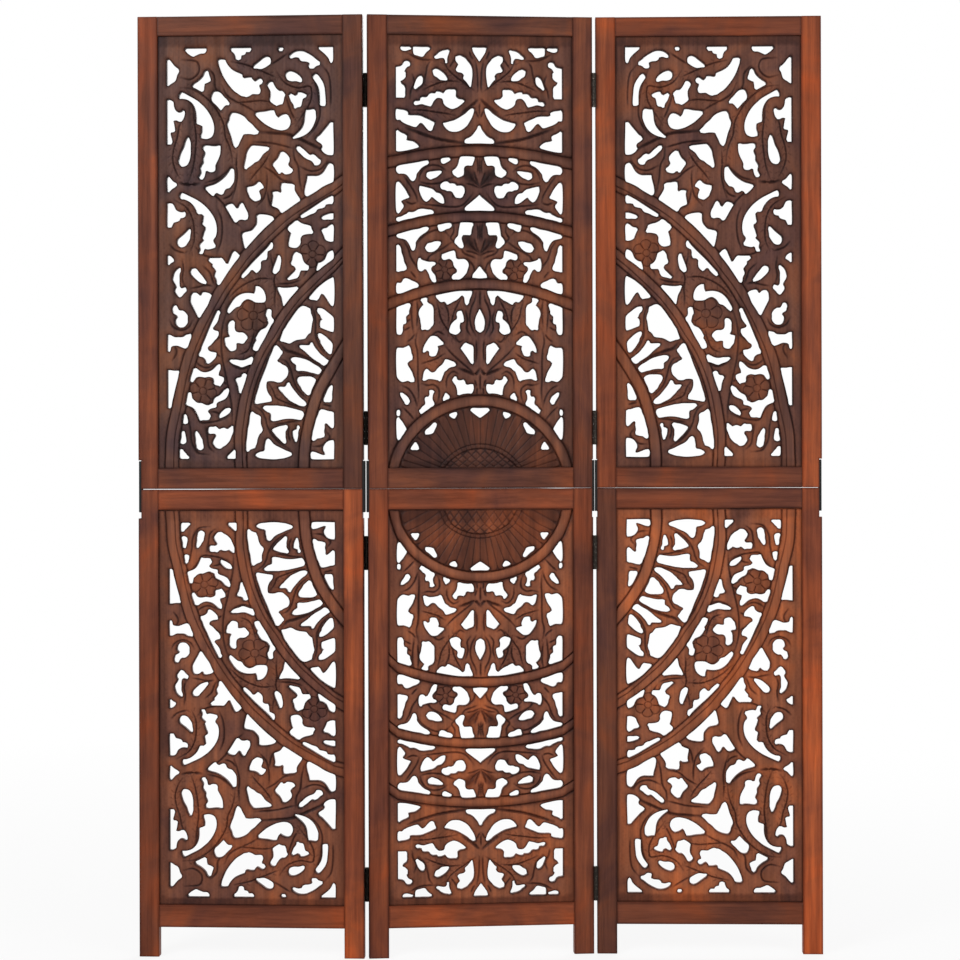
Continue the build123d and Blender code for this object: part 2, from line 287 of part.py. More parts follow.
CENTRE_OPENINGS = """
8,723 9,724 16,724 24,724 26,723 27,721 26,719 23,718 17,716 13,716 9,718 8,720
30,723 31,724 45,724 56,724 59,723 60,721 58,718 54,715 50,710 48,707 46,706 44,706 40,707 37,708
  33,709 31,711 30,715 30,720
93,719 94,718 93,714 91,709 90,704 90,700 90,696 88,695 86,696 86,700 85,702 83,704 77,704 73,703
  69,703 67,705 68,708 72,711 76,715 82,718 87,719 91,720
105,708 108,709 112,710 117,708 122,705 126,700 130,695 133,689 134,682 134,674 133,665 132,658 131,654
  129,654 128,656 125,660 122,664 118,668 118,671 119,674 117,677 113,679 108,680 105,683 105,685 107,689
  109,693 108,695 105,699 104,704
64,683 67,685 70,686 74,685 79,682 84,678 88,673 90,669 90,666 88,665 83,665 77,666 72,670 67,673
  65,677
39,671 42,673 45,673 47,670 47,665 46,660 43,656 39,653 34,649 32,650 31,652 32,656 34,662 36,667
0,688 3,689 8,690 12,693 14,697 17,699 21,699 24,697 25,694 24,690 20,688 17,685 15,681 17,679 17,675
  17,671 13,666 8,663 10,659 14,656 16,652 16,644 16,638 14,634 9,634 3,634 0,634
31,624 32,627 34,629 39,629 42,630 43,634 46,636 53,636 56,638 58,641 62,643 65,643 69,643 71,646
  75,646 79,645 83,643 85,645 87,648 92,650 98,650 103,650 105,648 105,641 105,638 109,634 113,633
  118,632 120,630 119,628 115,624 110,620 105,617 98,615 92,617 87,620 83,625 82,630 80,633 76,634 72,634
  68,631 65,627 62,621 60,619 56,620 52,621 45,623 39,622 35,621 32,622
0,613 2,615 7,614 14,613 19,611 21,609 21,605 25,604 34,604 43,603 50,600 57,597 63,594 67,592 67,589
  65,584 63,578 60,576 57,577 52,582 47,588 44,590 42,590 38,586 35,583 31,583 25,585 17,588 10,592 7,595
  2,595 0,597
135,617 137,615 136,609 133,601 129,594 124,586 117,580 109,576 102,575 94,576 88,580 84,585 82,589
  83,591 88,592 95,594 102,596 108,599 116,604 123,609 128,614 133,617
0,576 3,578 5,576 10,573 15,571 19,568 19,565 18,561 20,560 25,559 30,558 36,554 39,551 40,549 38,547
  32,545 24,543 15,541 7,540 2,540 0,541
0,511 2,514 6,516 16,518 28,520 39,522 48,524 55,525 57,523 57,520 54,517 48,514 43,510 39,505 36,501
  35,496 33,491 30,488 28,488 25,490 23,493 20,497 16,500 9,501 4,501 1,504 0,506
78,524 79,528 81,529 87,530 93,530 95,528 95,526 93,524 88,521 84,519 81,519 79,521
112,530 114,532 136,532 138,531 137,526 135,521 134,518 132,516 124,516 120,514 119,511 119,505 118,500
  116,498 112,496 107,495 104,497 100,500 98,505 100,508 104,511 107,515 109,520 110,525
53,499 54,503 58,505 65,506 73,507 78,507 80,506 79,503 75,499 70,495 65,493 60,491 56,493 53,496
0,484 2,487 5,487 9,483 13,478 17,472 20,466 23,461 22,459 17,457 12,455 9,453 10,450 12,448 13,444
  11,440 8,436 5,432 3,431 1,433 0,435
41,480 43,480 48,479 56,477 63,475 67,472 70,469 74,468 77,467 80,464 83,459 84,453 84,450 82,449
  77,450 72,453 67,457 63,460 61,460 59,457 56,454 53,452 50,453 47,456 44,461 42,466 40,473
77,479 78,483 81,486 85,488 90,488 94,485 99,485 103,484 106,481 110,481 115,481 119,478 120,474
  120,470 118,465 116,461 113,459 108,459 104,460 101,464 98,469 94,471 89,471 85,473 80,474 78,476
0,419 0,423 3,425 8,426 14,429 18,431 22,434 29,434 34,436 39,439 46,440 55,439 62,438 65,436 66,434
  64,431 58,430 49,428 39,426 28,423 18,421 10,419 4,417 1,418
72,409 73,412 79,413 88,415 95,415 97,413 97,410 93,406 87,404 82,401 77,400 74,402 73,406
0,392 2,395 8,397 18,400 29,403 40,405 49,408 55,408 57,406 56,403 52,399 46,395 40,390 37,386 34,381
  34,376 33,371 31,367 29,366 27,367 25,371 23,376 20,381 16,385 10,387 5,388 1,390
112,415 113,416 133,416 135,415 135,411 134,410 132,403 131,396 129,394 123,394 117,394 115,391 115,386
  117,380 118,374 116,371 112,371 109,373 105,377 102,380 102,384 104,388 108,393 109,400 110,406
50,371 52,375 55,379 62,381 68,383 75,383 78,382 78,379 75,374 72,370 67,366 62,364 56,364 53,366
0,375 3,377 5,376 8,371 9,364 12,355 14,346 17,340 18,335 17,333 13,331 7,330 3,329 0,330
38,350 39,353 42,354 44,351 49,349 57,347 65,347 68,346 69,344 67,341 63,339 61,335 62,331 65,327
  68,323 69,318 70,313 68,311 64,311 62,313 59,318 57,324 54,330 52,333 49,334 46,331 43,330 40,331
  38,334 37,340 37,346
79,355 80,360 85,362 90,364 96,366 101,367 103,365 104,359 105,354 108,352 114,352 119,352 123,350
  126,346 127,341 125,334 123,328 119,323 115,319 110,316 104,316 99,316 97,318 97,321 100,325 104,327
  106,330 105,334 102,337 100,341 99,346 96,350 92,352 88,351 84,350 81,351
0,307 2,310 8,310 10,312 12,316 16,318 21,317 27,314 34,311 38,308 39,305 37,302 30,300 20,296 10,292
  5,291 2,291 0,293
69,285 69,288 73,289 82,291 92,293 103,295 114,296 124,296 131,296 133,295 132,290 130,285 128,280
  127,275 124,271 122,271 120,274 119,280 118,285 115,288 113,287 110,284 105,280 99,277 94,274 90,272
  88,272 85,276 83,277 79,276 76,277 73,280
0,266 3,268 8,270 14,272 19,274 23,274 25,271 24,267 22,260 22,256 19,253 17,251 17,245 17,240 15,238
  12,237 11,232 11,226 9,221 7,219 3,219 1,220 0,224
42,279 44,282 47,283 51,284 54,283 54,280 54,277 57,274 61,272 64,268 65,262 65,254 65,246 65,240
  64,236 61,233 58,229 54,227 50,228 45,227 43,229 43,234 42,240 41,247 39,253 39,259 41,264 44,268
  47,271 45,275
106,258 108,260 111,261 114,261 115,259 117,253 118,247 118,243 116,241 112,240 111,236 111,231 112,226
  109,222 106,220 103,219 99,220 94,222 92,225 93,230 95,236 98,240 102,244 105,246 106,250 105,254
46,192 47,196 49,201 52,206 56,212 60,216 65,217 70,216 75,212 79,208 82,205 82,202 79,201 75,200
  72,199 73,194 72,190 70,185 68,182 64,181 60,181 57,183 57,187 56,190 53,191 49,188 46,188
112,195 115,199 118,203 122,205 126,203 131,201 134,199 135,195 135,185 135,176 135,170 133,167 130,169
  126,175 122,181 117,188
0,193 2,196 6,196 12,196 17,198 21,200 23,198 25,193 26,187 28,181 28,178 27,175 23,173 19,169 20,165
  23,160 27,153 29,147 31,141 31,137 29,136 24,136 20,138 15,137 10,136 6,138 4,140 1,144 0,148
45,140 46,145 47,151 49,156 52,159 55,158 58,155 61,153 65,153 68,155 71,159 75,163 79,166 82,170
  84,174 86,176 91,175 96,173 101,171 104,167 104,165 100,163 95,162 91,160 88,157 84,154 82,149 80,144
  78,139 75,137 72,139 68,140 62,141 55,141 51,139 47,138
97,139 99,143 102,146 105,145 106,141 109,139 113,139 117,140 120,137 121,133 124,131 129,132 134,132
  135,129 135,123 133,118 131,116 124,116 116,115 109,113 106,114 106,118 105,124 103,130 100,134
6,115 6,117 10,117 13,115 17,112 20,109 22,105 23,102 21,98 19,96 15,97 13,101 10,106 7,111
57,119 57,121 61,122 64,121 66,119 64,115 63,111 63,105 65,101 66,97 64,94 60,92 55,88 49,84 45,81
  42,80 40,83 39,86 42,89 45,93 49,96 50,100 49,104 49,107 51,110 55,110 57,113
83,112 84,115 86,117 89,115 92,112 93,110 92,107 87,105 83,103 81,103 81,108
0,85 2,87 5,87 6,84 6,80 5,77 2,76 0,78
0,72 2,74 4,74 6,71 10,66 13,61 16,56 17,53 15,50 12,45 9,41 6,36 3,34 1,36 0,40
92,79 95,81 98,82 102,83 105,83 106,80 104,75 102,72 99,72 95,74 92,77
49,48 51,52 56,56 60,60 64,64 67,65 70,63 70,60 68,55 66,51 64,47 60,45 54,44 50,44
24,19 26,23 29,27 31,30 34,30 36,27 38,23 39,19 37,17 31,17 26,17
"""
AXIS_OPENINGS = """
146,724 135,724 133,723 134,720 135,716 139,709 143,703 145,700 146,699
146,587 144,586 142,581 138,575 133,569 127,565 124,564 120,560 120,556 122,555 146,555
146,465 145,464 142,461 136,456 129,450 123,445 120,441 120,438 122,437 146,437
146,339 145,339 142,335 138,330 134,325 133,321 133,319 146,318
146,264 145,263 143,259 140,253 138,247 137,240 138,233 139,228 142,225 145,223 146,223
146,90 132,90 130,89 129,86 132,83 137,79 141,76 144,74 146,73
"""


def block(x_range, y_range, z_range):
    """A solid box between three pairs of limits."""
    size = [high - low for low, high in (x_range, y_range, z_range)]
    corner = (x_range[0], y_range[0], z_range[0])
    return Pos(*corner) * Box(*size, align=(Align.MIN, Align.MIN, Align.MIN))


def eased(timber, direction):
    """Planes a small flat along the edges that run one way."""
    return chamfer(timber.edges().filter_by(direction), EDGE_EASE)


def opening_limits(half):
    """Where the opening between a frame's rails begins and ends."""
    return half["rail_low"] + half["low_rail"], half["high"] - half["high_rail"]


def tenon_limits(half, which):
    """Bottom and top of the tenons of a frame's low or high rail."""
    bottom, top = opening_limits(half)
    if which == "low":
        return half["rail_low"] + TENON_SHOULDER, bottom - GROOVE_DEPTH
    return top + GROOVE_DEPTH, half["high"] - TENON_SHOULDER


def plate_notch(half, depth):
    """The share of a mending plate's notch that falls in one frame, as cut from the right-hand edge."""
    reach = PLATE_HEIGHT / 2 + PLATE_NOTCH_SPARE
    edge = PANEL_WIDTH / 2
    low = max(half["low"], MID_JOINT - reach)
    high = min(half["high"], MID_JOINT + reach)
    return block((edge - depth, edge + depth), (FRONT - 1, BACK + 1), (low, high))


def hinge_gain(middle, barrel_side):
    """The shallow bed of a hinge leaf in the right-hand edge; barrel_side is +1 at the back, -1 in front."""
    edge = PANEL_WIDTH / 2
    across = sorted((barrel_side * (BACK - LEAF_DEPTH), barrel_side * (BACK + 1)))
    along = (middle - HINGE_HEIGHT / 2, middle + HINGE_HEIGHT / 2)
    return block((edge - LEAF_THICKNESS, edge + LEAF_THICKNESS), across, along)


def hinges_of(half):
    """Middles of the hinges whose leaves lie on one frame."""
    return [z for z in HINGE_MIDDLES.values() if half["low"] < z < half["high"]]


def stile(half, hinge_side):
    """A right-hand stile: grooved and mortised on its left, notched for hardware on its right.

    hinge_side is +1 with barrels at the back, -1 with barrels in front, and 0 on an edge without hinges.
    """
    bottom, top = opening_limits(half)
    inner = OPENING_HALF
    timber = block((inner, PANEL_WIDTH / 2), (FRONT, BACK), (half["low"], half["high"]))
    timber = eased(timber, Axis.Z)
    across = (-GROOVE_WIDTH / 2, GROOVE_WIDTH / 2)
    timber -= block((inner - 1, inner + GROOVE_DEPTH), across, (bottom - GROOVE_DEPTH, top + GROOVE_DEPTH))
    for which in ("low", "high"):
        depth = TENON_LENGTH + TENON_CLEARANCE
        timber -= block((inner - 1, inner + depth), across, tenon_limits(half, which))
    timber -= plate_notch(half, INNER_NOTCH_DEPTH if hinge_side else OUTER_NOTCH_DEPTH)
    if hinge_side:
        for middle in hinges_of(half):
            timber -= hinge_gain(middle, hinge_side)
    return timber


def rail(half, which):
    """A rail with a tenon at each end and the board's groove along its inner edge."""
    bottom, top = opening_limits(half)
    limits = (half["rail_low"], bottom) if which == "low" else (top, half["high"])
    timber = block((-OPENING_HALF, OPENING_HALF), (FRONT, BACK), limits)
    timber = eased(timber, Axis.X)
    across = (-GROOVE_WIDTH / 2, GROOVE_WIDTH / 2)
    reach = OPENING_HALF + TENON_LENGTH
    timber += block((-reach, reach), across, tenon_limits(half, which))
    inner = (bottom - GROOVE_DEPTH, bottom + 1) if which == "low" else (top - 1, top + GROOVE_DEPTH)
    return timber - block((-reach - 1, reach + 1), across, inner)


def outlines(text):
    """Reads the openings of a drawing."""
    lines = text.strip().replace("\n  ", " ").split("\n")
    return [[tuple(float(number) for number in pair.split(",")) for pair in line.split()] for line in lines]


def twice_area(a, b, c):
    """Twice the area of a triangle."""
    return abs((b[0] - a[0]) * (c[1] - a[1]) - (b[1] - a[1]) * (c[0] - a[0]))


def breadth_of(outline):
    """Side of the square that is as large as an opening."""
    sides = zip(outline, outline[1:] + outline[:1])
    return math.sqrt(abs(sum(a[0] * b[1] - b[0] * a[1] for a, b in sides)) / 2)


def saw_cuts(outline):
    """Straight cuts along an outline: its least corners are left out until each one left is worth a cut."""
    corners = list(outline)
    breadth = breadth_of(outline)
    while len(corners) > 3:
        around = zip(corners[-1:] + corners[:-1], corners, corners[1:] + corners[:1])
        held = [twice_area(*three) / 2 for three in around]
        least = min(range(len(held)), key=held.__getitem__)
        if held[least] > SLIVER * breadth:
            break
        corners.pop(least)
    return corners


def drawing(panel):
    """Every opening of one panel's drawing, as shares of the drawing's width and height."""
    openings = outlines(SIDE_OPENINGS)
    width = max(u for outline in openings for u, v in outline)
    if panel == "centre":
        half = outlines(CENTRE_OPENINGS)
        on_axis = outlines(AXIS_OPENINGS)
        width = 2 * max(u for outline in on_axis for u, v in outline)
        mirrored = [[(width - u, v) for u, v in outline] for outline in half]
        axis = [outline + [(width - u, v) for u, v in outline[-2:0:-1]] for outline in on_axis]
        openings = half + mirrored + axis
    height = max(v for outline in openings for u, v in outline)
    sawn = [saw_cuts(outline) for outline in openings if breadth_of(outline) > SMALLEST_SAWN]
    return [[(u / width, v / height) for u, v in outline] for outline in sawn]


def fret_board(panel, half_name):
    """A pierced board, with a thinner tongue all round that sits in the grooves of its frame."""
    bottom, top = opening_limits(HALVES[half_name])
    half_width = OPENING_HALF - BOARD_CLEARANCE
    low = bottom + BOARD_CLEARANCE
    high = top - BOARD_CLEARANCE
    field_left = -OPENING_HALF + BOARD_MARGIN
    field_bottom = bottom + BOARD_MARGIN
    field_width = -2 * field_left
    field_height = top - bottom - 2 * BOARD_MARGIN
    front = -BOARD_THICKNESS / 2

    def placed(u, v):
        if panel == "right":
            u = 1 - u
        if half_name == "lower":
            v = 1 - v
        return field_left + u * field_width, front, field_bottom + v * field_height

    corners = [(-half_width, low), (half_width, low), (half_width, high), (-half_width, high)]
    rim = Wire.make_polygon([(x, front, z) for x, z in corners], close=True)
    cuts = [Wire.make_polygon([placed(u, v) for u, v in outline], close=True) for outline in drawing(panel)]
    board = Solid.extrude(Face(rim, cuts), Vector(0, BOARD_THICKNESS, 0))
    reach = GROOVE_DEPTH - BOARD_CLEARANCE
    ring_half = BOARD_MARGIN / 2
    thickness = (-GROOVE_WIDTH / 2, GROOVE_WIDTH / 2)
    outer = block(
        (-OPENING_HALF - reach, OPENING_HALF + reach), thickness, (bottom - reach, top + reach)
    )
    inner = block(
        (-OPENING_HALF + ring_half, OPENING_HALF - ring_half), thickness, (bottom + ring_half, top - ring_half)
    )
    return board + (outer - inner)


def knuckle_spans(share):
    """Heights of the knuckles of one leaf, from the middle of the hinge: share 0 has the outer ones."""
    pitch = HINGE_HEIGHT / KNUCKLES
    spans = []
    for k in range(share, KNUCKLES, 2):
        low = -HINGE_HEIGHT / 2 + k * pitch
        spans.append((low + KNUCKLE_CLEARANCE / 2, low + pitch - KNUCKLE_CLEARANCE / 2))
    return spans


def flats(radius, number):
    """A regular polygon round a circle of this radius, with a flat on each side."""
    return RegularPolygon(radius, number, major_radius=False, rotation=180 / number)


def hinge_leaf(share):
    """A leaf on the left of its pin, with the pin on the Z axis and the plate running to -Y."""
    outside = -BARREL_RADIUS
    inside = outside + LEAF_THICKNESS
    plate_start = -BARREL_RADIUS - KNUCKLE_CLEARANCE
    plate_end = -HINGE_STANDOFF - LEAF_DEPTH
    tall = (-HINGE_HEIGHT / 2, HINGE_HEIGHT / 2)
    leaf = block((outside, inside), (plate_end, plate_start), tall)
    neck = Pos(outside, plate_start - KNUCKLE_CLEARANCE) * Rectangle(
        LEAF_THICKNESS, KNUCKLE_CLEARANCE - plate_start, align=(Align.MIN, Align.MIN)
    )
    bore = flats(PIN_RADIUS + PIN_CLEARANCE, BARREL_FLATS)
    for low, high in knuckle_spans(share):
        leaf += Pos(0, 0, low) * extrude(flats(BARREL_RADIUS, BARREL_FLATS) + neck - bore, high - low)
    return leaf


def hinge_pin():
    """The loose pin of one hinge, inside the bores at every angle."""
    turned = RegularPolygon(PIN_RADIUS, BARREL_FLATS, rotation=180 / BARREL_FLATS)
    return Pos(0, 0, -HINGE_HEIGHT / 2) * extrude(turned, HINGE_HEIGHT)


def mending_plate():
    """A straight steel plate across the mid joint, in the notch of a right-hand edge."""
    across = (-PLATE_WIDTH / 2, PLATE_WIDTH / 2)
    return block((0, PLATE_THICKNESS), across, (-PLATE_HEIGHT / 2, PLATE_HEIGHT / 2))


# ---- where the panels and pins stand ----
# A panel is modelled about its own middle, facing -Y, and then turned and moved into the zigzag.
LEFT_PIN = Vector(-PANEL_WIDTH / 2 - PANEL_GAP / 2, BACK + HINGE_STANDOFF, 0)
RIGHT_PIN = Vector(PANEL_WIDTH / 2 + PANEL_GAP / 2, FRONT - HINGE_STANDOFF, 0)


TURNS = {"left": -LEFT_TURN, "centre": CENTRE_TURN, "right": -RIGHT_TURN}
CENTRE_PLACE = Rot(0, 0, CENTRE_TURN)


def hung_on(pin, panel):
    """Places a side panel so that its own pin line falls on the centre panel's, turned in place."""
    on_centre = (CENTRE_PLACE * Pos(pin)).position
    return Pos(on_centre) * Rot(0, 0, TURNS[panel]) * Pos(pin.X, -pin.Y, 0)


PLACES = {"left": hung_on(LEFT_PIN, "left"), "centre": CENTRE_PLACE, "right": hung_on(RIGHT_PIN, "right")}
# For each panel: the side its barrels lie on at its left and right edge, 0 where there is no hinge.
HINGED_EDGES = {"left": (0, 1), "centre": (1, -1), "right": (-1, 0)}


def centre_of_footprint():
    """Middle of the rectangle that the three standing panels fill, seen from above."""
    spots = []
    for place in PLACES.values():
        for x in (-PANEL_WIDTH / 2, PANEL_WIDTH / 2):
            for y in (FRONT, BACK):
                for dx, dy in ((EDGE_EASE, 0), (0, EDGE_EASE)):
                    corner = (x - math.copysign(dx, x), y - math.copysign(dy, y), 0)
                    spots.append((place * Pos(*corner)).position)
    xs = [spot.X for spot in spots]
    ys = [spot.Y for spot in spots]
    return (min(xs) + max(xs)) / 2, (min(ys) + max(ys)) / 2


MIDDLE_X, MIDDLE_Y = centre_of_footprint()
TO_ORIGIN = Pos(-MIDDLE_X, -MIDDLE_Y, 0)


def write(solids, name, place):
    """Puts a piece, or a group of equal pieces, in its place in the standing screen and writes it."""
    if not isinstance(solids, list):
        solids = [solids]
    moved = [TO_ORIGIN * place * solid for solid in solids]
    export_step(Compound(moved) if len(moved) > 1 else moved[0], f"parts/{name}.step")
    print(name, round(sum(solid.volume for solid in moved), 1))


def mirrored_left(solid):
    return mirror(solid, Plane.YZ)


def build_panels():
    """Frames, boards and plates of the three panels."""
    for panel, place in PLACES.items():
        left_hinges, right_hinges = HINGED_EDGES[panel]
        for half_name, half in HALVES.items():
            prefix = f"{panel}_{half_name}"
            write(mirrored_left(stile(half, left_hinges)), f"{prefix}_left_stile", place)
            write(stile(half, right_hinges), f"{prefix}_right_stile", place)
            write(rail(half, "high"), f"{prefix}_top_rail", place)
            write(rail(half, "low"), f"{prefix}_bottom_rail", place)
            write(fret_board(panel, half_name), f"{prefix}_fret_board", place)
        plates = []
        for side, hinged in ((-1, left_hinges), (1, right_hinges)):
            depth = INNER_NOTCH_DEPTH if hinged else OUTER_NOTCH_DEPTH
            plate = Pos(PANEL_WIDTH / 2 - depth, 0, MID_JOINT) * mending_plate()
            plates.append(plate if side > 0 else mirrored_left(plate))
        write(plates, f"{panel}_mending_plates", place)


def build_hinges(fold, pin, panels, in_front):
    """The four hinges of one fold: a leaf on each panel, and the pins together."""
    pins = []
    for position, middle in HINGE_MIDDLES.items():
        for share, panel in enumerate(panels):
            leaf = hinge_leaf(share)
            if (share == 1) != in_front:
                leaf = mirrored_left(leaf)
            place = Pos(pin.X, pin.Y, middle) * Rot(0, 0, TURNS[panel] + 180 * in_front)
            write(leaf, f"{fold}_{position}_hinge_{panel}_leaf", place)
        pins.append(Pos(0, 0, middle) * hinge_pin())
    write(pins, f"{fold}_hinge_pins", Pos(pin.X, pin.Y, 0))


build_panels()
build_hinges("left_fold", (CENTRE_PLACE * Pos(LEFT_PIN)).position, ("left", "centre"), False)
build_hinges("right_fold", (CENTRE_PLACE * Pos(RIGHT_PIN)).position, ("centre", "right"), True)
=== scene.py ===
# %% [markdown]
# # A carved jali folding screen
# Three hinged panels hold six pierced boards. The timber, the boards and the steel are each made in the
# way that suits them, and everything is placed from a few sizes of the real screen, in millimetres.
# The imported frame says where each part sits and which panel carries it, so it is loaded first.

# %% Load the frame
import math

import bmesh
import bpy
import numpy as np
from mathutils import Matrix, Vector
from mathutils.geometry import delaunay_2d_cdt
from mathutils.kdtree import KDTree


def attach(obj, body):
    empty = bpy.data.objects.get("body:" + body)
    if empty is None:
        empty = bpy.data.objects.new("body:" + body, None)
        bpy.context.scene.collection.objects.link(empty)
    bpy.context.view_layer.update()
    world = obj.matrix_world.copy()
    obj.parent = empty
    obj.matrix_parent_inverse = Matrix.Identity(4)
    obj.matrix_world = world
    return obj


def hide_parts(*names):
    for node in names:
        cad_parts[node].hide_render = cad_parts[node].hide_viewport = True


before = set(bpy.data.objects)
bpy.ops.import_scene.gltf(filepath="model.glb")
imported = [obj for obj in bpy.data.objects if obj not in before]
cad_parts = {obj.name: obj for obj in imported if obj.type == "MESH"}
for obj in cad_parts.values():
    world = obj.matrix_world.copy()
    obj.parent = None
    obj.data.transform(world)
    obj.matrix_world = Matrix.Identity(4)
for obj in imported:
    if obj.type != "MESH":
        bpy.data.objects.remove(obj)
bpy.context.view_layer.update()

MM = 0.001

# %% [markdown]
# A camera that looks level, from far enough away for the three panels to look nearly flat, shows
# furniture in its true proportions. The lens is worked out from the width that has to fill the picture.
# A small upward shift of the film keeps the verticals parallel while the eye stands a little higher
# than the middle of the screen, so that the tops of the feet and the floor are seen from just above.
# A hand-levelled camera is never quite true, so this one is rolled by a seventh of a degree.

# %% Camera
CAMERA_DISTANCE = 3.9
PICTURE_WIDTH = 1.6885
PICTURE_MIDDLE = (-0.0008, 0.8352)
FILM_WIDTH = 36.0
FILM_SHIFT = -0.05
ROLL = 0.14


def new_object(name, data):
    """A new object in the scene that shows a mesh, a lamp or a camera."""
    thing = bpy.data.objects.new(name, data)
    bpy.context.scene.collection.objects.link(thing)
    return thing


lens_data = bpy.data.cameras.new("camera")
lens_data.sensor_width = FILM_WIDTH
lens_data.lens = FILM_WIDTH * CAMERA_DISTANCE / PICTURE_WIDTH
lens_data.shift_y = FILM_SHIFT
camera = new_object("camera", lens_data)
camera.location = (PICTURE_MIDDLE[0], -CAMERA_DISTANCE, PICTURE_MIDDLE[1] - FILM_SHIFT * PICTURE_WIDTH)
camera.rotation_euler = (math.radians(90), math.radians(ROLL), 0)
bpy.context.scene.camera = camera
print("lens", round(lens_data.lens, 1), "mm, eye at", round(camera.location.z, 3), "m")

# %% [markdown]
# Materials are graphs of nodes. One short helper adds a node, sets its values and wires its inputs, so
# that each finish below reads as a list of its layers. A value that is a tuple of a node and an output
# name becomes a link.

# %% A helper for materials
def new_material(name):
    """An empty node material with its surface shader."""
    material = bpy.data.materials.new(name)
    material.use_nodes = True
    tree = material.node_tree
    tree.nodes.clear()
    shader = tree.nodes.new("ShaderNodeBsdfPrincipled")
    output = tree.nodes.new("ShaderNodeOutputMaterial")
    tree.links.new(shader.outputs["BSDF"], output.inputs["Surface"])
    return material, shader


def wire(tree, socket, value):
    """Sets a socket, or links it where the value is a (node, output) pair."""
    if isinstance(value, tuple) and isinstance(value[0], bpy.types.Node):
        tree.links.new(value[0].outputs[value[1]], socket)
    else:
        socket.default_value = value


def add(owner, kind, settings=None, **inputs):
    """Adds a node; settings are its own properties and inputs its sockets, by name or _number."""
    tree = owner.node_tree
    node = tree.nodes.new("ShaderNode" + kind)
    for key, value in (settings or {}).items():
        setattr(node, key, value)
    for key, value in inputs.items():
        socket = node.inputs[int(key[1:])] if key.startswith("_") else node.inputs[key.replace("_", " ")]
        wire(tree, socket, value)
    return node


def ramp(material, factor, stops):
    """A colour ramp through (position, colour) stops."""
    node = add(material, "ValToRGB", Fac=factor)
    while len(node.color_ramp.elements) < len(stops):
        node.color_ramp.elements.new(0.5)
    for element, (position, colour) in zip(node.color_ramp.elements, stops):
        element.position = position
        element.color = (*colour, 1)
    return node


def multiply(material, factor, below, above):
    """Multiplies one colour by another."""
    settings = {"data_type": "RGBA", "blend_type": "MULTIPLY"}
    return (add(material, "Mix", settings, _0=factor, _6=below, _7=above), 2)


def give_value(mesh, name, values):
    """Stores one number for each point of a mesh, for its material to read."""
    attribute = mesh.attributes.new(name, "FLOAT", "POINT")
    attribute.data.foreach_set("value", np.asarray(values, dtype=np.float32))

# %% [markdown]
# The screen is mango wood, stained reddish brown and waxed. Stain sinks unevenly: long fibres take it
# in streaks, whole patches turn towards orange or towards purple, and it gathers where a brush leaves
# it, in corners and carved lines. So the finish has three layers of noise, stretched along the grain,
# and it reads two numbers that each piece carries: "tone", how light this timber came out, and
# "shade", how much darker a point is painted, partly for stain that gathered there and partly as
# painted shade in corners, recesses, cuts and the walls of openings. Timber that lies level has its
# grain along X.

# %% Stained wood
WHITE = (1.0, 1.0, 1.0)


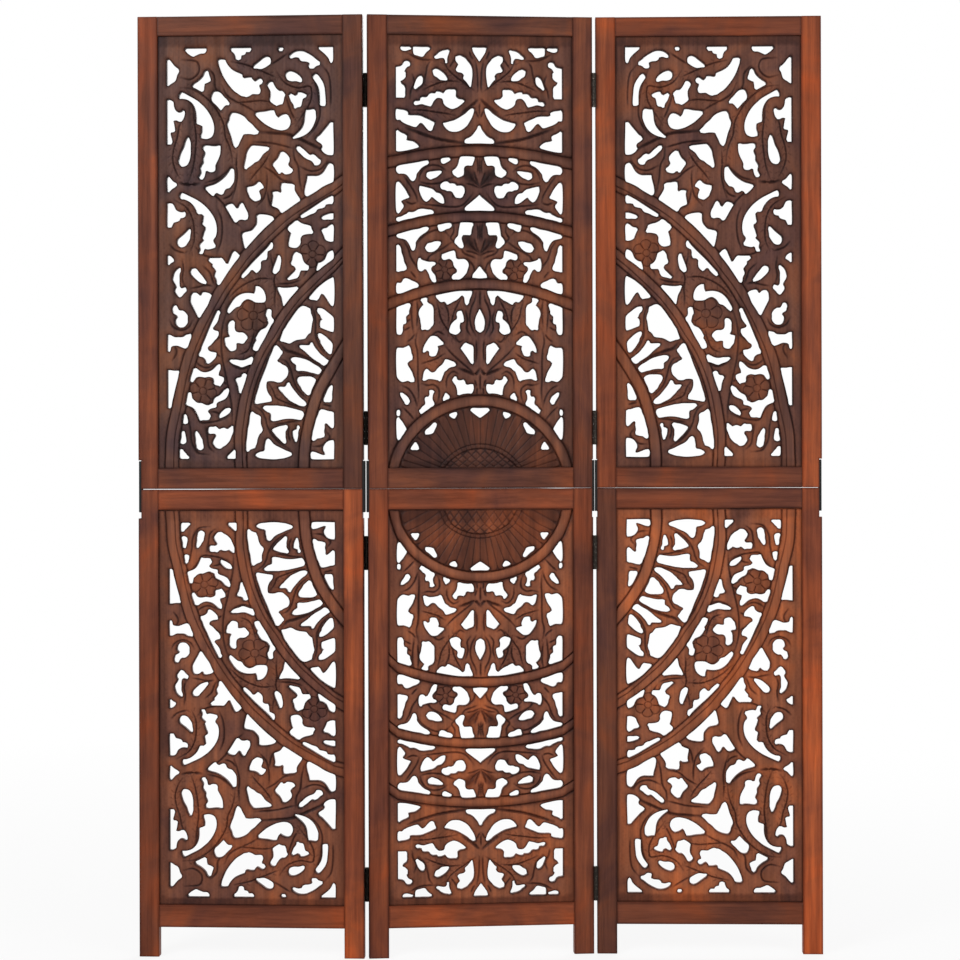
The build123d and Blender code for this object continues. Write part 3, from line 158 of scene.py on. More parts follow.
def stained_wood(name, grain_axis, dark, middle, light, streaks=1.0):
    """Stained timber with its grain along one axis."""
    material, shader = new_material(name)
    place = add(material, "TexCoord")
    tone = add(material, "Attribute", {"attribute_name": "tone"})
    shade = add(material, "Attribute", {"attribute_name": "shade"})
    own_start = add(material, "VectorMath", {"operation": "SCALE"}, _0=(7.0, 3.0, 11.0), Scale=(tone, "Fac"))
    moved = add(material, "VectorMath", {"operation": "ADD"}, _0=(place, "Object"), _1=(own_start, "Vector"))
    stretch = {"X": (1, 22, 22), "Z": (22, 22, 1)}[grain_axis]
    wide = add(material, "Mapping", Vector=(moved, "Vector"), Scale=[2.2 * s for s in stretch])
    fine = add(material, "Mapping", Vector=(moved, "Vector"), Scale=[9.0 * s for s in stretch])
    bands = add(material, "TexNoise", Vector=(wide, "Vector"), Scale=1.0, Detail=5.0, Roughness=0.6,
                Distortion=0.6)
    fibres = add(material, "TexNoise", Vector=(fine, "Vector"), Scale=1.0, Detail=3.0, Roughness=0.7)
    patches = add(material, "TexNoise", Vector=(moved, "Vector"), Scale=6.5, Detail=4.0, Roughness=0.55,
                  Distortion=0.8)
    body = ramp(material, (bands, "Fac"), [(0.28, dark), (0.5, middle), (0.74, light)])
    stain = ramp(material, (patches, "Fac"), [(0.3, (0.58, 0.66, 0.95)), (0.5, WHITE),
                                              (0.72, (1.5, 1.14, 0.74))])
    colour = multiply(material, 1.0, (body, "Color"), (stain, "Color"))
    thread = ramp(material, (fibres, "Fac"), [(0.3, (0.7, 0.66, 0.64)), (0.55, WHITE),
                                              (0.8, (1.18, 1.14, 1.1))])
    colour = multiply(material, 0.75 * streaks, colour, (thread, "Color"))
    level = ramp(material, (tone, "Fac"), [(0.0, (0.66, 0.84, 1.05)), (0.5, WHITE),
                                           (1.0, (1.95, 1.65, 1.2))])
    colour = multiply(material, 1.0, colour, (level, "Color"))
    uneven = add(material, "MapRange", Value=(patches, "Fac"), From_Min=0.3, From_Max=0.7,
                 To_Min=1.25, To_Max=0.8)
    # The shade number darkens the colour: partly stain that gathered there, partly painted shade in corners,
    # recesses, cuts and the walls of openings.
    stain_and_shade_share = add(material, "Math", {"operation": "MULTIPLY", "use_clamp": True}, _0=(shade, "Fac"),
                 _1=(uneven, "Result"))
    stain_and_shade_darkening = ramp(material, (stain_and_shade_share, "Value"), [(0.0, WHITE), (0.5, (0.52, 0.46, 0.46)),
                                                  (1.0, (0.16, 0.13, 0.14))])
    colour = multiply(material, 1.0, colour, (stain_and_shade_darkening, "Color"))
    wire(material.node_tree, shader.inputs["Base Color"], colour)
    gloss = ramp(material, (bands, "Fac"), [(0.3, (0.56, 0.56, 0.56)), (0.7, (0.42, 0.42, 0.42))])
    wire(material.node_tree, shader.inputs["Roughness"], (gloss, "Color"))
    height = add(material, "Math", {"operation": "ADD"}, _0=(fibres, "Fac"), _1=(bands, "Fac"))
    relief = add(material, "Bump", Strength=0.5, Distance=0.0006, Height=(height, "Value"))
    wire(material.node_tree, shader.inputs["Normal"], (relief, "Normal"))
    shader.inputs["Specular IOR Level"].default_value = 0.12
    return material


upright_wood = stained_wood("stained upright timber", "Z", (0.090, 0.024, 0.012), (0.168, 0.046, 0.022),
                            (0.270, 0.074, 0.030))
level_wood = stained_wood("stained level timber", "X", (0.088, 0.025, 0.013), (0.156, 0.044, 0.022),
                          (0.235, 0.064, 0.028))
carved_wood = stained_wood("stained carved boards", "Z", (0.105, 0.040, 0.024), (0.187, 0.070, 0.041),
                           (0.290, 0.104, 0.053), streaks=0.6)
print("three woods")

# %% [markdown]
# The hardware is cheap and dark. The hinges are steel with a thin brown-black coat that shows the metal
# a little where it is rubbed, and the mending plates are painted black. Both get fine mottling in their
# colour and gloss, because an even black looks like plastic.

# %% Dark steel
def dark_steel(name, base, worn, metallic, rough):
    """Coated steel with faint mottling."""
    material, shader = new_material(name)
    place = add(material, "TexCoord")
    cloud = add(material, "TexNoise", Vector=(place, "Object"), Scale=330.0, Detail=5.0, Roughness=0.7)
    grit = add(material, "TexNoise", Vector=(place, "Object"), Scale=900.0, Detail=2.0)
    colour = ramp(material, (cloud, "Fac"), [(0.35, base), (0.55, base), (0.75, worn)])
    wire(material.node_tree, shader.inputs["Base Color"], (colour, "Color"))
    gloss = ramp(material, (cloud, "Fac"), [(0.3, (rough + 0.1,) * 3), (0.75, (rough - 0.08,) * 3)])
    wire(material.node_tree, shader.inputs["Roughness"], (gloss, "Color"))
    relief = add(material, "Bump", Strength=0.25, Distance=0.0002, Height=(grit, "Fac"))
    wire(material.node_tree, shader.inputs["Normal"], (relief, "Normal"))
    shader.inputs["Metallic"].default_value = metallic
    shader.inputs["Specular IOR Level"].default_value = 0.2
    return material


hinge_finish = dark_steel("browned hinge steel", (0.022, 0.018, 0.015), (0.15, 0.13, 0.11), 0.85, 0.34)
plate_finish = dark_steel("black painted steel", (0.006, 0.006, 0.006), (0.02, 0.018, 0.016), 0.0, 0.55)
screw_finish = dark_steel("screw steel", (0.05, 0.043, 0.036), (0.25, 0.22, 0.19), 0.9, 0.36)
print("three metals")

# %% [markdown]
# A piece from mesh code is only finished when its modifiers are applied, its flat faces stay flat beside
# the round ones, and it is registered with the body it rides on and the frame nodes that it stands for.
# These helpers do that for every piece. One of them opens a piece in edit mode with only some of its
# edges or faces selected, because most mesh operators act on what is selected.

# %% Helpers for pieces
PANELS = ("left", "centre", "right")
TURN = {"left": -3.0, "centre": 5.0, "right": -1.5}
MIDDLE = {"left": (-402.380, -7.080), "centre": (0.102, -0.0585), "right": (402.410, 12.230)}


def upright(x, y, z, degrees):
    """A place in metres, with a turn about the vertical."""
    return Matrix.Translation((x, y, z)) @ Matrix.Rotation(math.radians(degrees), 4, "Z")


PLACE = {panel: upright(x * MM, y * MM, 0, TURN[panel]) for panel, (x, y) in MIDDLE.items()}


def select_only(*objects):
    """Makes these objects the only selected ones, the first of them active."""
    bpy.ops.object.select_all(action="DESELECT")
    for thing in objects:
        thing.select_set(True)
    bpy.context.view_layer.objects.active = objects[0]


def edit_selected(thing, kind, chosen):
    """Opens a piece in edit mode with only its chosen edges or faces selected."""
    select_only(thing)
    bpy.ops.object.mode_set(mode="EDIT")
    bpy.ops.mesh.select_mode(type=kind)
    bpy.ops.mesh.select_all(action="DESELECT")
    net = bmesh.from_edit_mesh(thing.data)
    for part in net.faces if kind == "FACE" else net.edges:
        part.select = chosen(part)
    bmesh.update_edit_mesh(thing.data)


def apply_modifier(thing, kind, **settings):
    """Adds a modifier, sets it and applies it."""
    modifier = thing.modifiers.new(kind.lower(), kind)
    for key, value in settings.items():
        setattr(modifier, key, value)
    select_only(thing)
    bpy.ops.object.modifier_apply(modifier=modifier.name)


def smooth(thing, degrees):
    """Shades a piece smooth across edges below this angle."""
    select_only(thing)
    bpy.ops.object.shade_smooth_by_angle(angle=math.radians(degrees))


def finish_piece(thing, material, body, nodes=()):
    """Gives a piece its material, the body that it rides on and the frame nodes that it replaces."""
    thing.data.materials.clear()
    thing.data.materials.append(material)
    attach(thing, body)
    if nodes:
        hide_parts(*nodes)

# %% [markdown]
# Each frame is two stiles and two rails, planed and eased. Their sizes are already right in the frame
# nodes, so a copy of each node is the blank: its doubled points are merged, and a small rounded bevel
# takes the sharpness off every edge, as sanding does. A narrow strip is then set off along the edges of
# every broad face and painted darker, partly for stain that gathers where timbers meet and partly as
# painted shade along the joints and the step down to the board. Every timber gets its own tone. A
# hand-made pair of frames never closes evenly: the upper frames bear on the lower ones in some places
# only, so the top edge of each lower frame is planed to a profile that leaves light through the joint
# in the others.

# %% Frame timber
TIMBERS = ("left_stile", "right_stile", "top_rail", "bottom_rail")
TIMBER_TONES = {
    "left_upper": (0.48, 0.0, 0.08, 0.25), "left_lower": (0.51, 0.9, 0.73, 0.66),
    "centre_upper": (0.41, 0.26, 0.03, 0.12), "centre_lower": (0.6, 0.5, 0.6, 0.82),
    "right_upper": (0.64, 0.82, 0.5, 0.4), "right_lower": (0.12, 1.0, 0.42, 0.36),
}
EASED_EDGE = 0.5
STRIP_WIDTH = 3.0
STRIP_STAIN_AND_SHADE = 0.4
BROAD_FACE = 0.004
LONG_EDGE = 0.25
LOWER_TOP = 0.8195
TOP_BAND = 0.004
RISES = {
    "left": ((-0.480, 0.0), (-0.395, 0.95), (0.0, 0.95)),
    "centre": ((-0.25, 0.95), (0.105, 0.95), (0.130, 0.35), (0.150, 0.35), (0.170, 0.9), (0.2, 0.85)),
    "right": ((0.203, 0.95), (0.240, 0.8), (0.330, 0.45), (0.430, 0.45), (0.498, 0.85), (0.520, 0.5),
              (0.6, 0.4)),
}


def plane_top(piece, profile):
    """Raises the top edge of a lower frame by a profile of (X in metres, rise in millimetres)."""
    edit_selected(piece, "EDGE", lambda edge: abs((edge.verts[1].co - edge.verts[0].co).x) > LONG_EDGE)
    bpy.ops.mesh.subdivide(number_cuts=15)
    bpy.ops.object.mode_set(mode="OBJECT")
    places, rises = zip(*profile)
    for point in piece.data.vertices:
        if point.co.z > LOWER_TOP - TOP_BAND:
            point.co.z += float(np.interp(point.co.x, places, rises)) * MM


def edge_strip(piece):
    """Sets a narrow strip off round every broad face, and tells which points lie inside the strips."""
    edit_selected(piece, "FACE", lambda face: face.calc_area() > BROAD_FACE)
    bpy.ops.mesh.inset(thickness=STRIP_WIDTH * MM, use_individual=True)
    net = bmesh.from_edit_mesh(piece.data)
    inner = np.array([any(face.select for face in point.link_faces) for point in net.verts])
    bpy.ops.object.mode_set(mode="OBJECT")
    return inner


def timber(node_name, tone):
    """A sanded copy of one frame node."""
    piece = new_object(node_name + "_sanded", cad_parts[node_name].data.copy())
    select_only(piece)
    bpy.ops.object.mode_set(mode="EDIT")
    bpy.ops.mesh.select_all(action="SELECT")
    bpy.ops.mesh.remove_doubles(threshold=0.02 * MM)
    bpy.ops.mesh.tris_convert_to_quads(face_threshold=math.radians(1), shape_threshold=math.radians(179))
    bpy.ops.mesh.dissolve_limited(angle_limit=math.radians(0.5))
    bpy.ops.object.mode_set(mode="OBJECT")
    apply_modifier(piece, "BEVEL", width=EASED_EDGE * MM, segments=2, limit_method="ANGLE",
                   angle_limit=math.radians(20))
    # Painted shade, with some gathered stain, on the narrow strips and side faces along every edge of the
    # timber.
    shade = np.where(edge_strip(piece), 0.0, STRIP_STAIN_AND_SHADE)
    give_value(piece.data, "tone", np.full(len(shade), tone))
    give_value(piece.data, "shade", shade)
    panel, half = node_name.split("_")[:2]
    if half == "lower":
        plane_top(piece, RISES[panel])
    smooth(piece, 32)
    return piece


for frame_name, tones in TIMBER_TONES.items():
    body = frame_name.split("_")[0] + "_panel"
    for timber_name, tone in zip(TIMBERS, tones):
        node_name = f"{frame_name}_{timber_name}"
        wood = upright_wood if timber_name.endswith("stile") else level_wood
        finish_piece(timber(node_name, tone), wood, body, [node_name])
print(len(TIMBER_TONES) * len(TIMBERS), "timbers")

# %% [markdown]
# The heart of the screen is six pierced boards. Two drawings make all of them: the right-hand boards
# are the left ones mirrored, and each lower board is its upper one turned upside down and squashed a
# little. A drawing is a list of openings in millimetres, u to the right and v upwards, as a carver
# would read them off a paper template. Each line is one opening, and an indented line carries it on. The
# centre drawing gives only its left half, because the other half mirrors it, and a short list of
# openings that lie on the middle line.

# %% The drawings
SIDE_OPENINGS = """
31,720 33,723 68,723 69,719 66,714 58,713 51,710 46,708 40,711 34,716
112,723 146,723 147,719 144,715 138,715 136,711 130,709 129,703 125,701 120,703 119,708 117,713 112,718
194,720 196,723 201,723 203,720 201,716 196,716
214,704 214,708 219,713 226,716 236,716 245,712 253,707 260,701 266,696 266,691 260,689 255,685 249,685
  247,688 248,695 243,697 235,698 232,700 230,704 224,705 217,703
264,723 289,723 289,700 288,696 286,694 284,696 281,703 275,710 267,717 265,719
0,703 3,704 6,701 13,692 20,686 21,682 18,676 16,669 14,665 8,661 2,657 0,657
44,656 46,660 52,664 58,669 63,675 66,682 69,684 72,681 74,674 76,668 76,665 71,662 66,660 65,655
  64,648 61,646 57,648 50,652 46,654
89,701 91,703 98,703 101,702 104,696 108,690 113,685 120,681 127,678 131,676 132,671 134,670 141,671
  147,671 149,667 152,664 155,665 159,668 162,669 165,667 167,663 165,659 161,657 161,654 163,648 162,643
  160,641 153,641 149,641 144,638 138,636 135,637 130,638 124,642 117,647 109,656 102,666 97,675 93,685
  90,694
150,689 152,692 158,697 163,701 168,705 174,707 179,705 181,699 180,694 175,690 170,687 164,685 156,686
  152,686
207,673 208,678 213,681 219,680 225,677 231,672 235,666 235,662 233,661 225,663 217,663 211,665 208,669
254,669 255,673 258,676 261,675 266,669 271,661 274,652 275,643 276,630 276,622 275,619 270,619 266,621
  266,628 266,638 265,647 262,656 257,664
175,657 177,661 181,663 184,662 187,656 191,650 195,647 199,647 203,644 206,639 204,634 203,628 201,623
  196,622 191,620 186,623 181,627 179,630 180,637 180,646 177,652
212,639 215,642 219,640 222,638 226,640 228,644 232,644 238,642 243,639 242,635 237,632 235,626 234,621
  232,618 227,617 224,615 221,616 220,622 216,628 214,633
77,634 78,640 81,646 85,647 90,646 95,642 100,636 105,631 109,625 108,622 103,622 100,620 96,615 94,613
  91,616 86,622 79,629
21,636 22,642 25,646 28,645 35,641 44,636 52,631 59,625 66,618 72,610 77,601 81,590 82,581 81,573
  78,567 73,564 68,563 62,564 59,565 59,570 61,578 61,586 57,588 52,590 51,593 51,602 50,612 47,621
  42,628 36,632 28,634 22,634
0,632 3,633 8,631 11,628 12,621 14,615 18,611 23,611 27,614 30,613 31,610 30,603 28,598 25,594 21,594
  17,596 13,596 11,595 12,591 13,585 14,578 12,576 7,575 6,573 8,564 9,558 7,554 2,554 0,554
105,589 108,597 110,605 113,609 118,609 125,607 131,604 136,600 141,594 148,588 154,581 160,575 158,571
  152,570 145,571 137,571 133,570 131,566 127,558 124,551 121,548 119,547 116,551 114,557 112,565 110,572
  107,580
154,605 155,609 160,610 170,611 180,613 186,613 188,608 190,603 193,600 197,603 201,605 206,606 210,604
  213,599 215,593 214,586 211,581 206,578 199,577 193,578 186,580 178,584 170,589 163,595 157,601
218,565 220,562 225,563 232,565 239,568 246,573 252,580 256,588 259,597 259,604 258,611 255,614 246,613
  242,613 241,609 240,602 239,593 236,584 231,577 225,571
283,590 286,591 289,590 289,534 288,533 281,533 276,535 271,539 268,544 270,549 269,552 265,555 261,558
  259,561 261,565 266,569 271,575 276,581 280,586
35,566 37,567 39,563 41,556 41,547 41,538 40,530 38,523 34,517 29,515 25,515 22,518 20,523 21,530
  24,540 29,550 32,560
63,550 66,552 71,552 78,551 85,551 89,552 93,551 93,543 92,535 89,527 86,521 84,516 84,510 83,507
  80,505 74,505 70,507 67,506 66,501 65,497 62,492 58,492 55,496 57,500 59,504 59,508 58,512 60,517
  63,522 63,530 65,535 66,540 63,545
0,496 2,498 5,495 10,489 16,485 17,482 14,479 8,475 3,470 0,471
66,476 67,479 73,481 80,483 88,487 96,493 102,499 107,506 110,511 113,511 116,509 117,502 117,494
  116,487 113,482 109,477 103,475 100,472 98,467 95,465 91,466 87,468 84,467 81,463 79,463 74,467 70,471
22,461 23,467 25,469 30,467 38,463 46,459 53,455 60,450 67,444 74,436 80,427 84,418 86,408 86,399
  84,391 81,387 80,384 82,379 84,376 83,372 77,370 70,369 66,370 64,368 63,364 61,361 56,361 55,364
  57,368 57,372 56,377 58,380 62,384 63,386 61,389 62,393 64,400 66,405 66,409 62,412 61,414 62,420
  63,428 60,431 55,431 52,433 50,438 47,444 43,449 37,454 30,457 24,458
0,450 2,451 8,450 11,447 13,443 15,439 19,436 25,435 30,436 32,432 31,427 28,425 23,424 21,420 17,418
  11,416 9,412 7,408 1,408 0,409
101,444 104,447 109,449 113,449 117,445 120,441 123,442 126,448 129,451 132,449 136,441 140,433 141,427
  140,422 136,420 130,421 125,420 122,417 120,416 117,417 113,423 108,432
139,473 139,478 142,479 148,480 154,483 158,487 161,487 165,483 168,478 168,476 162,473 160,470 162,464
  163,460 162,456 158,454 153,453 148,456 144,460 141,467
134,514 135,521 137,530 139,540 143,547 147,551 155,551 165,550 173,549 178,547 177,543 173,540 167,535
  163,529 159,524 153,521 147,516 141,512 138,509 135,510
184,519 187,523 191,527 194,532 197,539 201,540 205,538 210,533 213,528 213,523 211,518 211,516 214,512
  218,509 219,506 216,502 210,500 205,500 201,503 198,503 197,501 194,501 190,507 186,513 184,516
225,546 226,549 230,549 234,546 239,542 244,537 248,534 253,535 257,533 262,528 267,524 267,520 264,516
  259,515 256,516 254,520 251,523 244,526 238,530 232,536 227,541
244,497 252,497 260,497 266,499 271,503 275,509 279,516 282,519 286,518 289,515 289,487 287,485 280,482
  270,477 260,470 250,464 244,461 241,462 239,467 240,478 243,490
183,469 186,470 192,470 196,468 198,470 198,478 199,484 202,485 210,484 218,483 222,480 222,472 226,464
  231,456 231,453 225,449 215,442 205,435 200,432 197,434 194,439 189,442 184,444 182,446 183,455 184,463
232,424 232,428 236,431 244,436 253,442 262,448 271,454 280,459 286,462 289,460 289,451 287,447 281,447
  276,446 274,442 270,440 262,438 258,433 255,431 249,429 241,425 235,423
268,423 270,426 277,429 284,431 289,431 289,421 287,420 279,420 271,420
130,395 132,398 139,400 146,402 151,407 155,413 156,420 156,428 159,430 168,430 178,428 184,425 186,421
  181,416 172,408 160,396 150,385 141,375 137,370 135,371 133,377 131,387
17,382 18,387 22,391 28,396 33,401 37,405 40,405 41,401 40,394 39,387 35,380 31,375 26,373 21,374
  18,378
0,358 2,359 7,356 11,351 11,348 6,345 3,342 0,343
9,317 10,323 12,329 16,334 20,337 23,336 23,331 21,325 21,316 21,308 22,303 24,301 27,302 31,303 33,299
  33,296 29,292 25,287 22,285 19,286 16,290 13,295 13,299 15,303 14,307 11,312
40,331 42,335 47,336 51,334 55,329 60,323 65,316 68,311 67,308 62,309 55,312 49,317 44,322 41,326
40,283 41,289 44,293 49,293 53,291 56,288 58,289 60,293 63,294 69,293 74,291 77,288 74,281 70,271
  65,263 60,255 57,250 55,249 53,250 50,256 47,262 43,270 40,277
71,350 73,354 80,354 88,354 94,354 98,350 102,344 105,344 107,349 110,356 113,363 116,366 120,364
  126,358 124,354 117,345 109,334 101,322 94,311 91,307 88,306 86,309 85,316 82,323 83,328 84,331 81,336
  78,340 78,344 75,346
128,320 129,324 133,329 140,337 150,348 160,358 168,366 176,375 180,381 182,381 184,377 183,370 179,367
  175,365 174,360 174,355 172,350 166,349 163,346 163,340 162,334 158,329 155,327 152,329 149,332 146,332
  142,327 137,322 132,318
183,329 184,336 187,344 190,352 192,358 195,358 197,355 198,348 197,340 195,332 192,328 188,325 185,326
208,317 212,321 216,325 221,330 223,334 221,338 216,341 215,345 217,351 218,357 221,362 224,364 228,362
  233,359 235,353 237,347 241,342 246,339 246,334 244,331 239,331 233,331 231,328 229,322 226,318 219,316
  211,314
209,405 211,409 216,413 222,418 226,419 230,416 236,413 244,411 250,408 251,404 254,398 252,395 247,395
  240,394 235,392 232,387 232,380 230,375 225,371 218,371 212,373 211,378 212,386 214,394 215,397 211,401
268,401 270,404 277,406 282,410 286,412 289,409 289,382 286,381 280,382 275,385 273,390 270,397
259,332 260,338 262,344 268,346 273,350 276,356 278,361 283,365 287,366 289,362 289,352 285,348 278,343
  270,337 264,332 260,330
191,301 193,302 200,301 209,301 218,302 225,303 228,300 226,297 220,290 213,282 206,273 203,269 201,270
  200,275 198,285 194,293
246,282 247,285 252,291 260,300 268,307 276,313 283,317 287,319 289,317 289,270 287,268 284,270 280,276
  275,284 271,289 268,290 266,287 263,281 260,278 255,279 249,280
104,259 104,263 107,269 110,274 114,280 120,286 127,290 135,292 143,292 150,291 152,296 153,304 157,304
  163,301 168,295 171,286 171,279 169,276 160,275 152,276 147,279 142,281 138,281 133,278 130,275 126,269
  120,267 115,263 111,259 107,256
10,270 12,271 16,270 17,268 19,264 21,262 25,262 29,260 33,256 35,252 35,247 35,241 33,237 29,233
  24,232 19,233 16,236 14,241 14,246 16,249 17,250 16,253 13,255 10,257 9,261 8,265
0,219 4,219 8,217 12,215 17,215 22,215 27,216 31,219 35,220 40,221 41,219 41,214 39,209 37,203 35,198
  33,196 31,195 27,196 22,198 17,200 12,200 8,199 6,197 5,192 3,189 1,190 0,191
88,262 91,260 92,257 90,253 89,248 87,242 83,236 79,231 80,228 84,226 88,225 89,223 89,219 86,213
  82,209 78,204 74,200 71,198 70,195 72,191 76,189 82,188 85,187 85,185 84,180 81,176 77,172 73,169
  70,168 67,170 66,174 64,177 60,180 55,181 54,183 54,186 57,192 59,199 62,206 65,213 71,228 77,242
  84,257 86,261
112,244 114,244 117,241 117,236 117,230 119,225 123,223 128,223 132,222 137,218 139,215 139,212 136,208
  133,204 131,203 125,204 121,204 120,203 120,198 119,193 116,191 112,190 108,191 104,196 101,200 100,205
  99,209 99,213 101,214 106,215 108,217 106,220 105,225 105,231 105,237 108,242
107,173 109,175 114,175 119,175 125,174 131,174 137,176 143,179 146,180 148,179 149,176 148,172 146,167
  142,166 139,165 134,163 131,162 127,162 123,164 117,166 111,169
173,263 176,264 179,263 181,261 181,256 181,251 183,247 185,245 185,243 184,240 181,236 175,224 169,212
  162,200 157,191 155,190 151,191 148,193 148,196 150,202 152,206 154,209 153,213 155,217 157,221 160,225
  162,227 166,229 170,231 173,235 175,239 174,244 173,249 171,252 171,256 172,260
232,268 235,269 240,268 244,266 248,264 249,261 250,255 252,250 253,244 252,240 251,234 250,227 249,222
  245,219 242,215 240,212 238,211 231,210 225,209 220,207 215,204 212,203 208,204 202,206 197,207 195,209
  196,212 198,218 201,226 205,232 209,239 214,246 218,252 223,259 228,265
261,265 264,265 269,264 274,261 279,257 284,253 288,249 289,247 289,225 288,223 286,223 280,225 275,227
  270,229 266,231 265,234 265,239 266,243 269,245 267,248 265,253 262,256 260,261
261,219 263,221 267,220 272,217 276,214 281,209 285,205 287,201 287,196 286,189 285,185 283,184 280,185
  276,189 272,194 269,199 266,204 265,209 262,214
229,199 231,200 238,200 245,200 247,201 248,204 250,205 252,204 254,200 257,195 261,190 266,184 272,179
  277,175 280,173 279,170 276,166 272,164 269,165 264,169 259,172 253,176 247,181 241,187 235,192 230,196
214,176 216,178 221,179 228,178 236,176 242,174 248,171 254,167 261,163 265,160 268,156 266,152 263,149
  260,149 254,151 249,152 242,154 234,155 226,155 223,157 223,160 223,163 223,165 221,167 217,170 215,173
226,142 228,144 234,145 240,145 246,145 251,144 255,142 258,139 257,136 255,131 252,125 250,120 249,116
  247,113 245,112 242,113 238,117 234,121 231,127 227,133 225,139
44,159 46,160 50,160 54,157 59,154 64,153 70,154 75,156 79,159 82,162 85,165 88,167 91,167 92,165
  92,159 90,154 89,150 89,147 92,146 95,145 98,143 98,139 97,136 95,133 93,130 91,128 89,129 86,130
  82,131 80,133 80,138 79,142 76,144 72,145 64,144 59,145 53,145 49,143 47,140 44,136 41,136 39,138
  39,142 41,149 43,155
0,157 4,157 10,156 15,156 19,156 20,154 19,150 18,144 16,136 14,128 12,120 10,111 8,103 7,97 6,92 4,90
  2,90 0,91
119,142 121,143 126,144 128,146 129,149 132,151 136,150 138,148 137,144 135,137 133,131 131,125 129,120
  128,116 126,116 124,117 123,122 122,129 120,135 118,140
186,199 188,200 191,199 195,195 198,191 200,189 200,186 197,182 194,177 191,174 192,171 196,169 200,166
  206,163 209,159 210,154 209,148 207,144 202,139 199,136 196,135 190,135 184,137 176,137 173,136 172,132
  172,126 173,121 175,116 177,113 180,109 181,105 181,102 178,101 172,100 166,99 160,98 155,97 152,98
  151,101 152,106 153,111 155,117 158,127 160,134 165,147 171,162 177,179 181,188 184,196
192,126 194,127 198,127 203,127 206,130 207,133 210,135 212,134 214,130 217,125 220,121 224,116 228,111
  233,106 238,102 241,98 241,95 238,93 234,93 229,94 223,97 217,100 212,103 207,108 203,112 199,117
  195,121
282,128 285,130 287,128 287,124 286,115 286,107 285,102 283,100 277,100 273,100 271,102 271,106 273,111
  276,118 279,124
35,117 37,118 39,118 41,116 42,111 43,107 46,104 49,101 53,99 58,99 61,98 65,96 70,95 74,97 78,99
  79,103 81,107 83,109 87,111 90,113 94,117 97,121 100,123 103,125 106,124 107,121 106,116 104,111
  101,107 96,104 91,102 87,100 85,97 85,93 83,91 78,90 73,88 70,85 71,82 73,80 75,76 74,74 72,70 68,69
  61,69 57,68 55,69 53,74 51,79 49,83 46,88 41,92 36,94 32,96 31,98 32,103 33,109
27,74 27,77 29,80 31,79 33,77 34,73 35,68 35,64 33,63 30,62 27,63 26,64 26,68
23,46 24,49 27,50 29,49 30,46 31,41 32,35 32,31 31,29 27,27 24,27 22,28 21,30 22,35 23,40
47,47 48,49 50,50 52,48 55,44 57,40 60,35 61,29 62,24 62,20 59,17 56,16 53,17 50,20 49,25 48,30 48,36
  47,42
20,15 21,18 23,18 26,17 28,14 31,11 34,7 37,4 37,2 35,1 28,1 23,1 21,2 20,6 20,11
71,56 73,57 79,57 83,58 86,56 88,54 90,53 92,54 95,55 99,55 101,54 104,53 106,55 109,57 111,59 114,58
  114,55 114,49 112,43 110,38 108,33 105,29 101,25 96,22 92,19 87,19 83,21 80,25 78,29 79,33 81,37 83,40
  83,43 81,45 76,45 72,45 70,48 70,52
89,75 90,79 93,83 96,86 100,89 104,90 108,90 110,88 109,84 107,81 103,78 98,75 93,73 91,72
103,4 104,6 107,9 110,12 113,15 115,17 117,16 118,14 118,8 118,2 116,1 109,1 104,1
136,16 136,19 136,28 137,36 138,45 139,54 141,63 142,71 143,79 145,83 147,84 150,82 154,79 159,77
  162,74 162,70 162,64 163,59 165,53 165,50 163,47 160,44 158,40 156,34 155,28 153,23 152,20 149,19
  144,17 141,14 138,13
165,90 167,93 170,94 177,94 184,94 190,94 197,93 205,92 213,90 221,88 228,86 234,84 236,82 237,79
  236,75 234,71 232,69 229,69 223,70 215,71 208,71 200,70 192,68 186,67 182,67 179,69 179,73 179,78
  178,81 173,83 169,86
181,52 184,54 189,56 195,58 201,59 205,60 208,59 209,56 207,52 205,48 205,44 205,38 206,33 206,29
  204,27 201,28 198,31 193,36 189,40 185,45 182,49
217,47 217,49 220,51 223,52 224,53 224,56 225,59 228,59 230,56 229,53 228,51 227,47 227,42 226,36
  225,32 224,30 221,31 220,34 218,39
152,7 153,9 156,11 161,13 166,14 168,17 168,21 169,27 170,32 172,35 174,36 177,35 180,32 183,28 188,24
  194,21 200,18 206,15 211,13 215,11 216,8 214,6 209,4 203,2 196,1 188,0 178,0 168,1 160,2 155,4
250,36 251,42 252,49 254,56 256,64 258,71 261,78 263,84 266,87 269,87 274,86 280,84 286,83 289,81
  289,78 289,58 288,55 286,54 284,55 281,58 278,61 275,63 273,61 273,56 272,48 273,42 272,39 266,37
  260,36 256,33 253,32 251,33
248,10 250,13 252,13 257,12 262,10 267,8 271,7 273,8 272,12 270,16 270,21 272,25 275,29 280,32 285,33
  288,33 289,31 289,0 288,0 251,0 249,1 248,5
"""
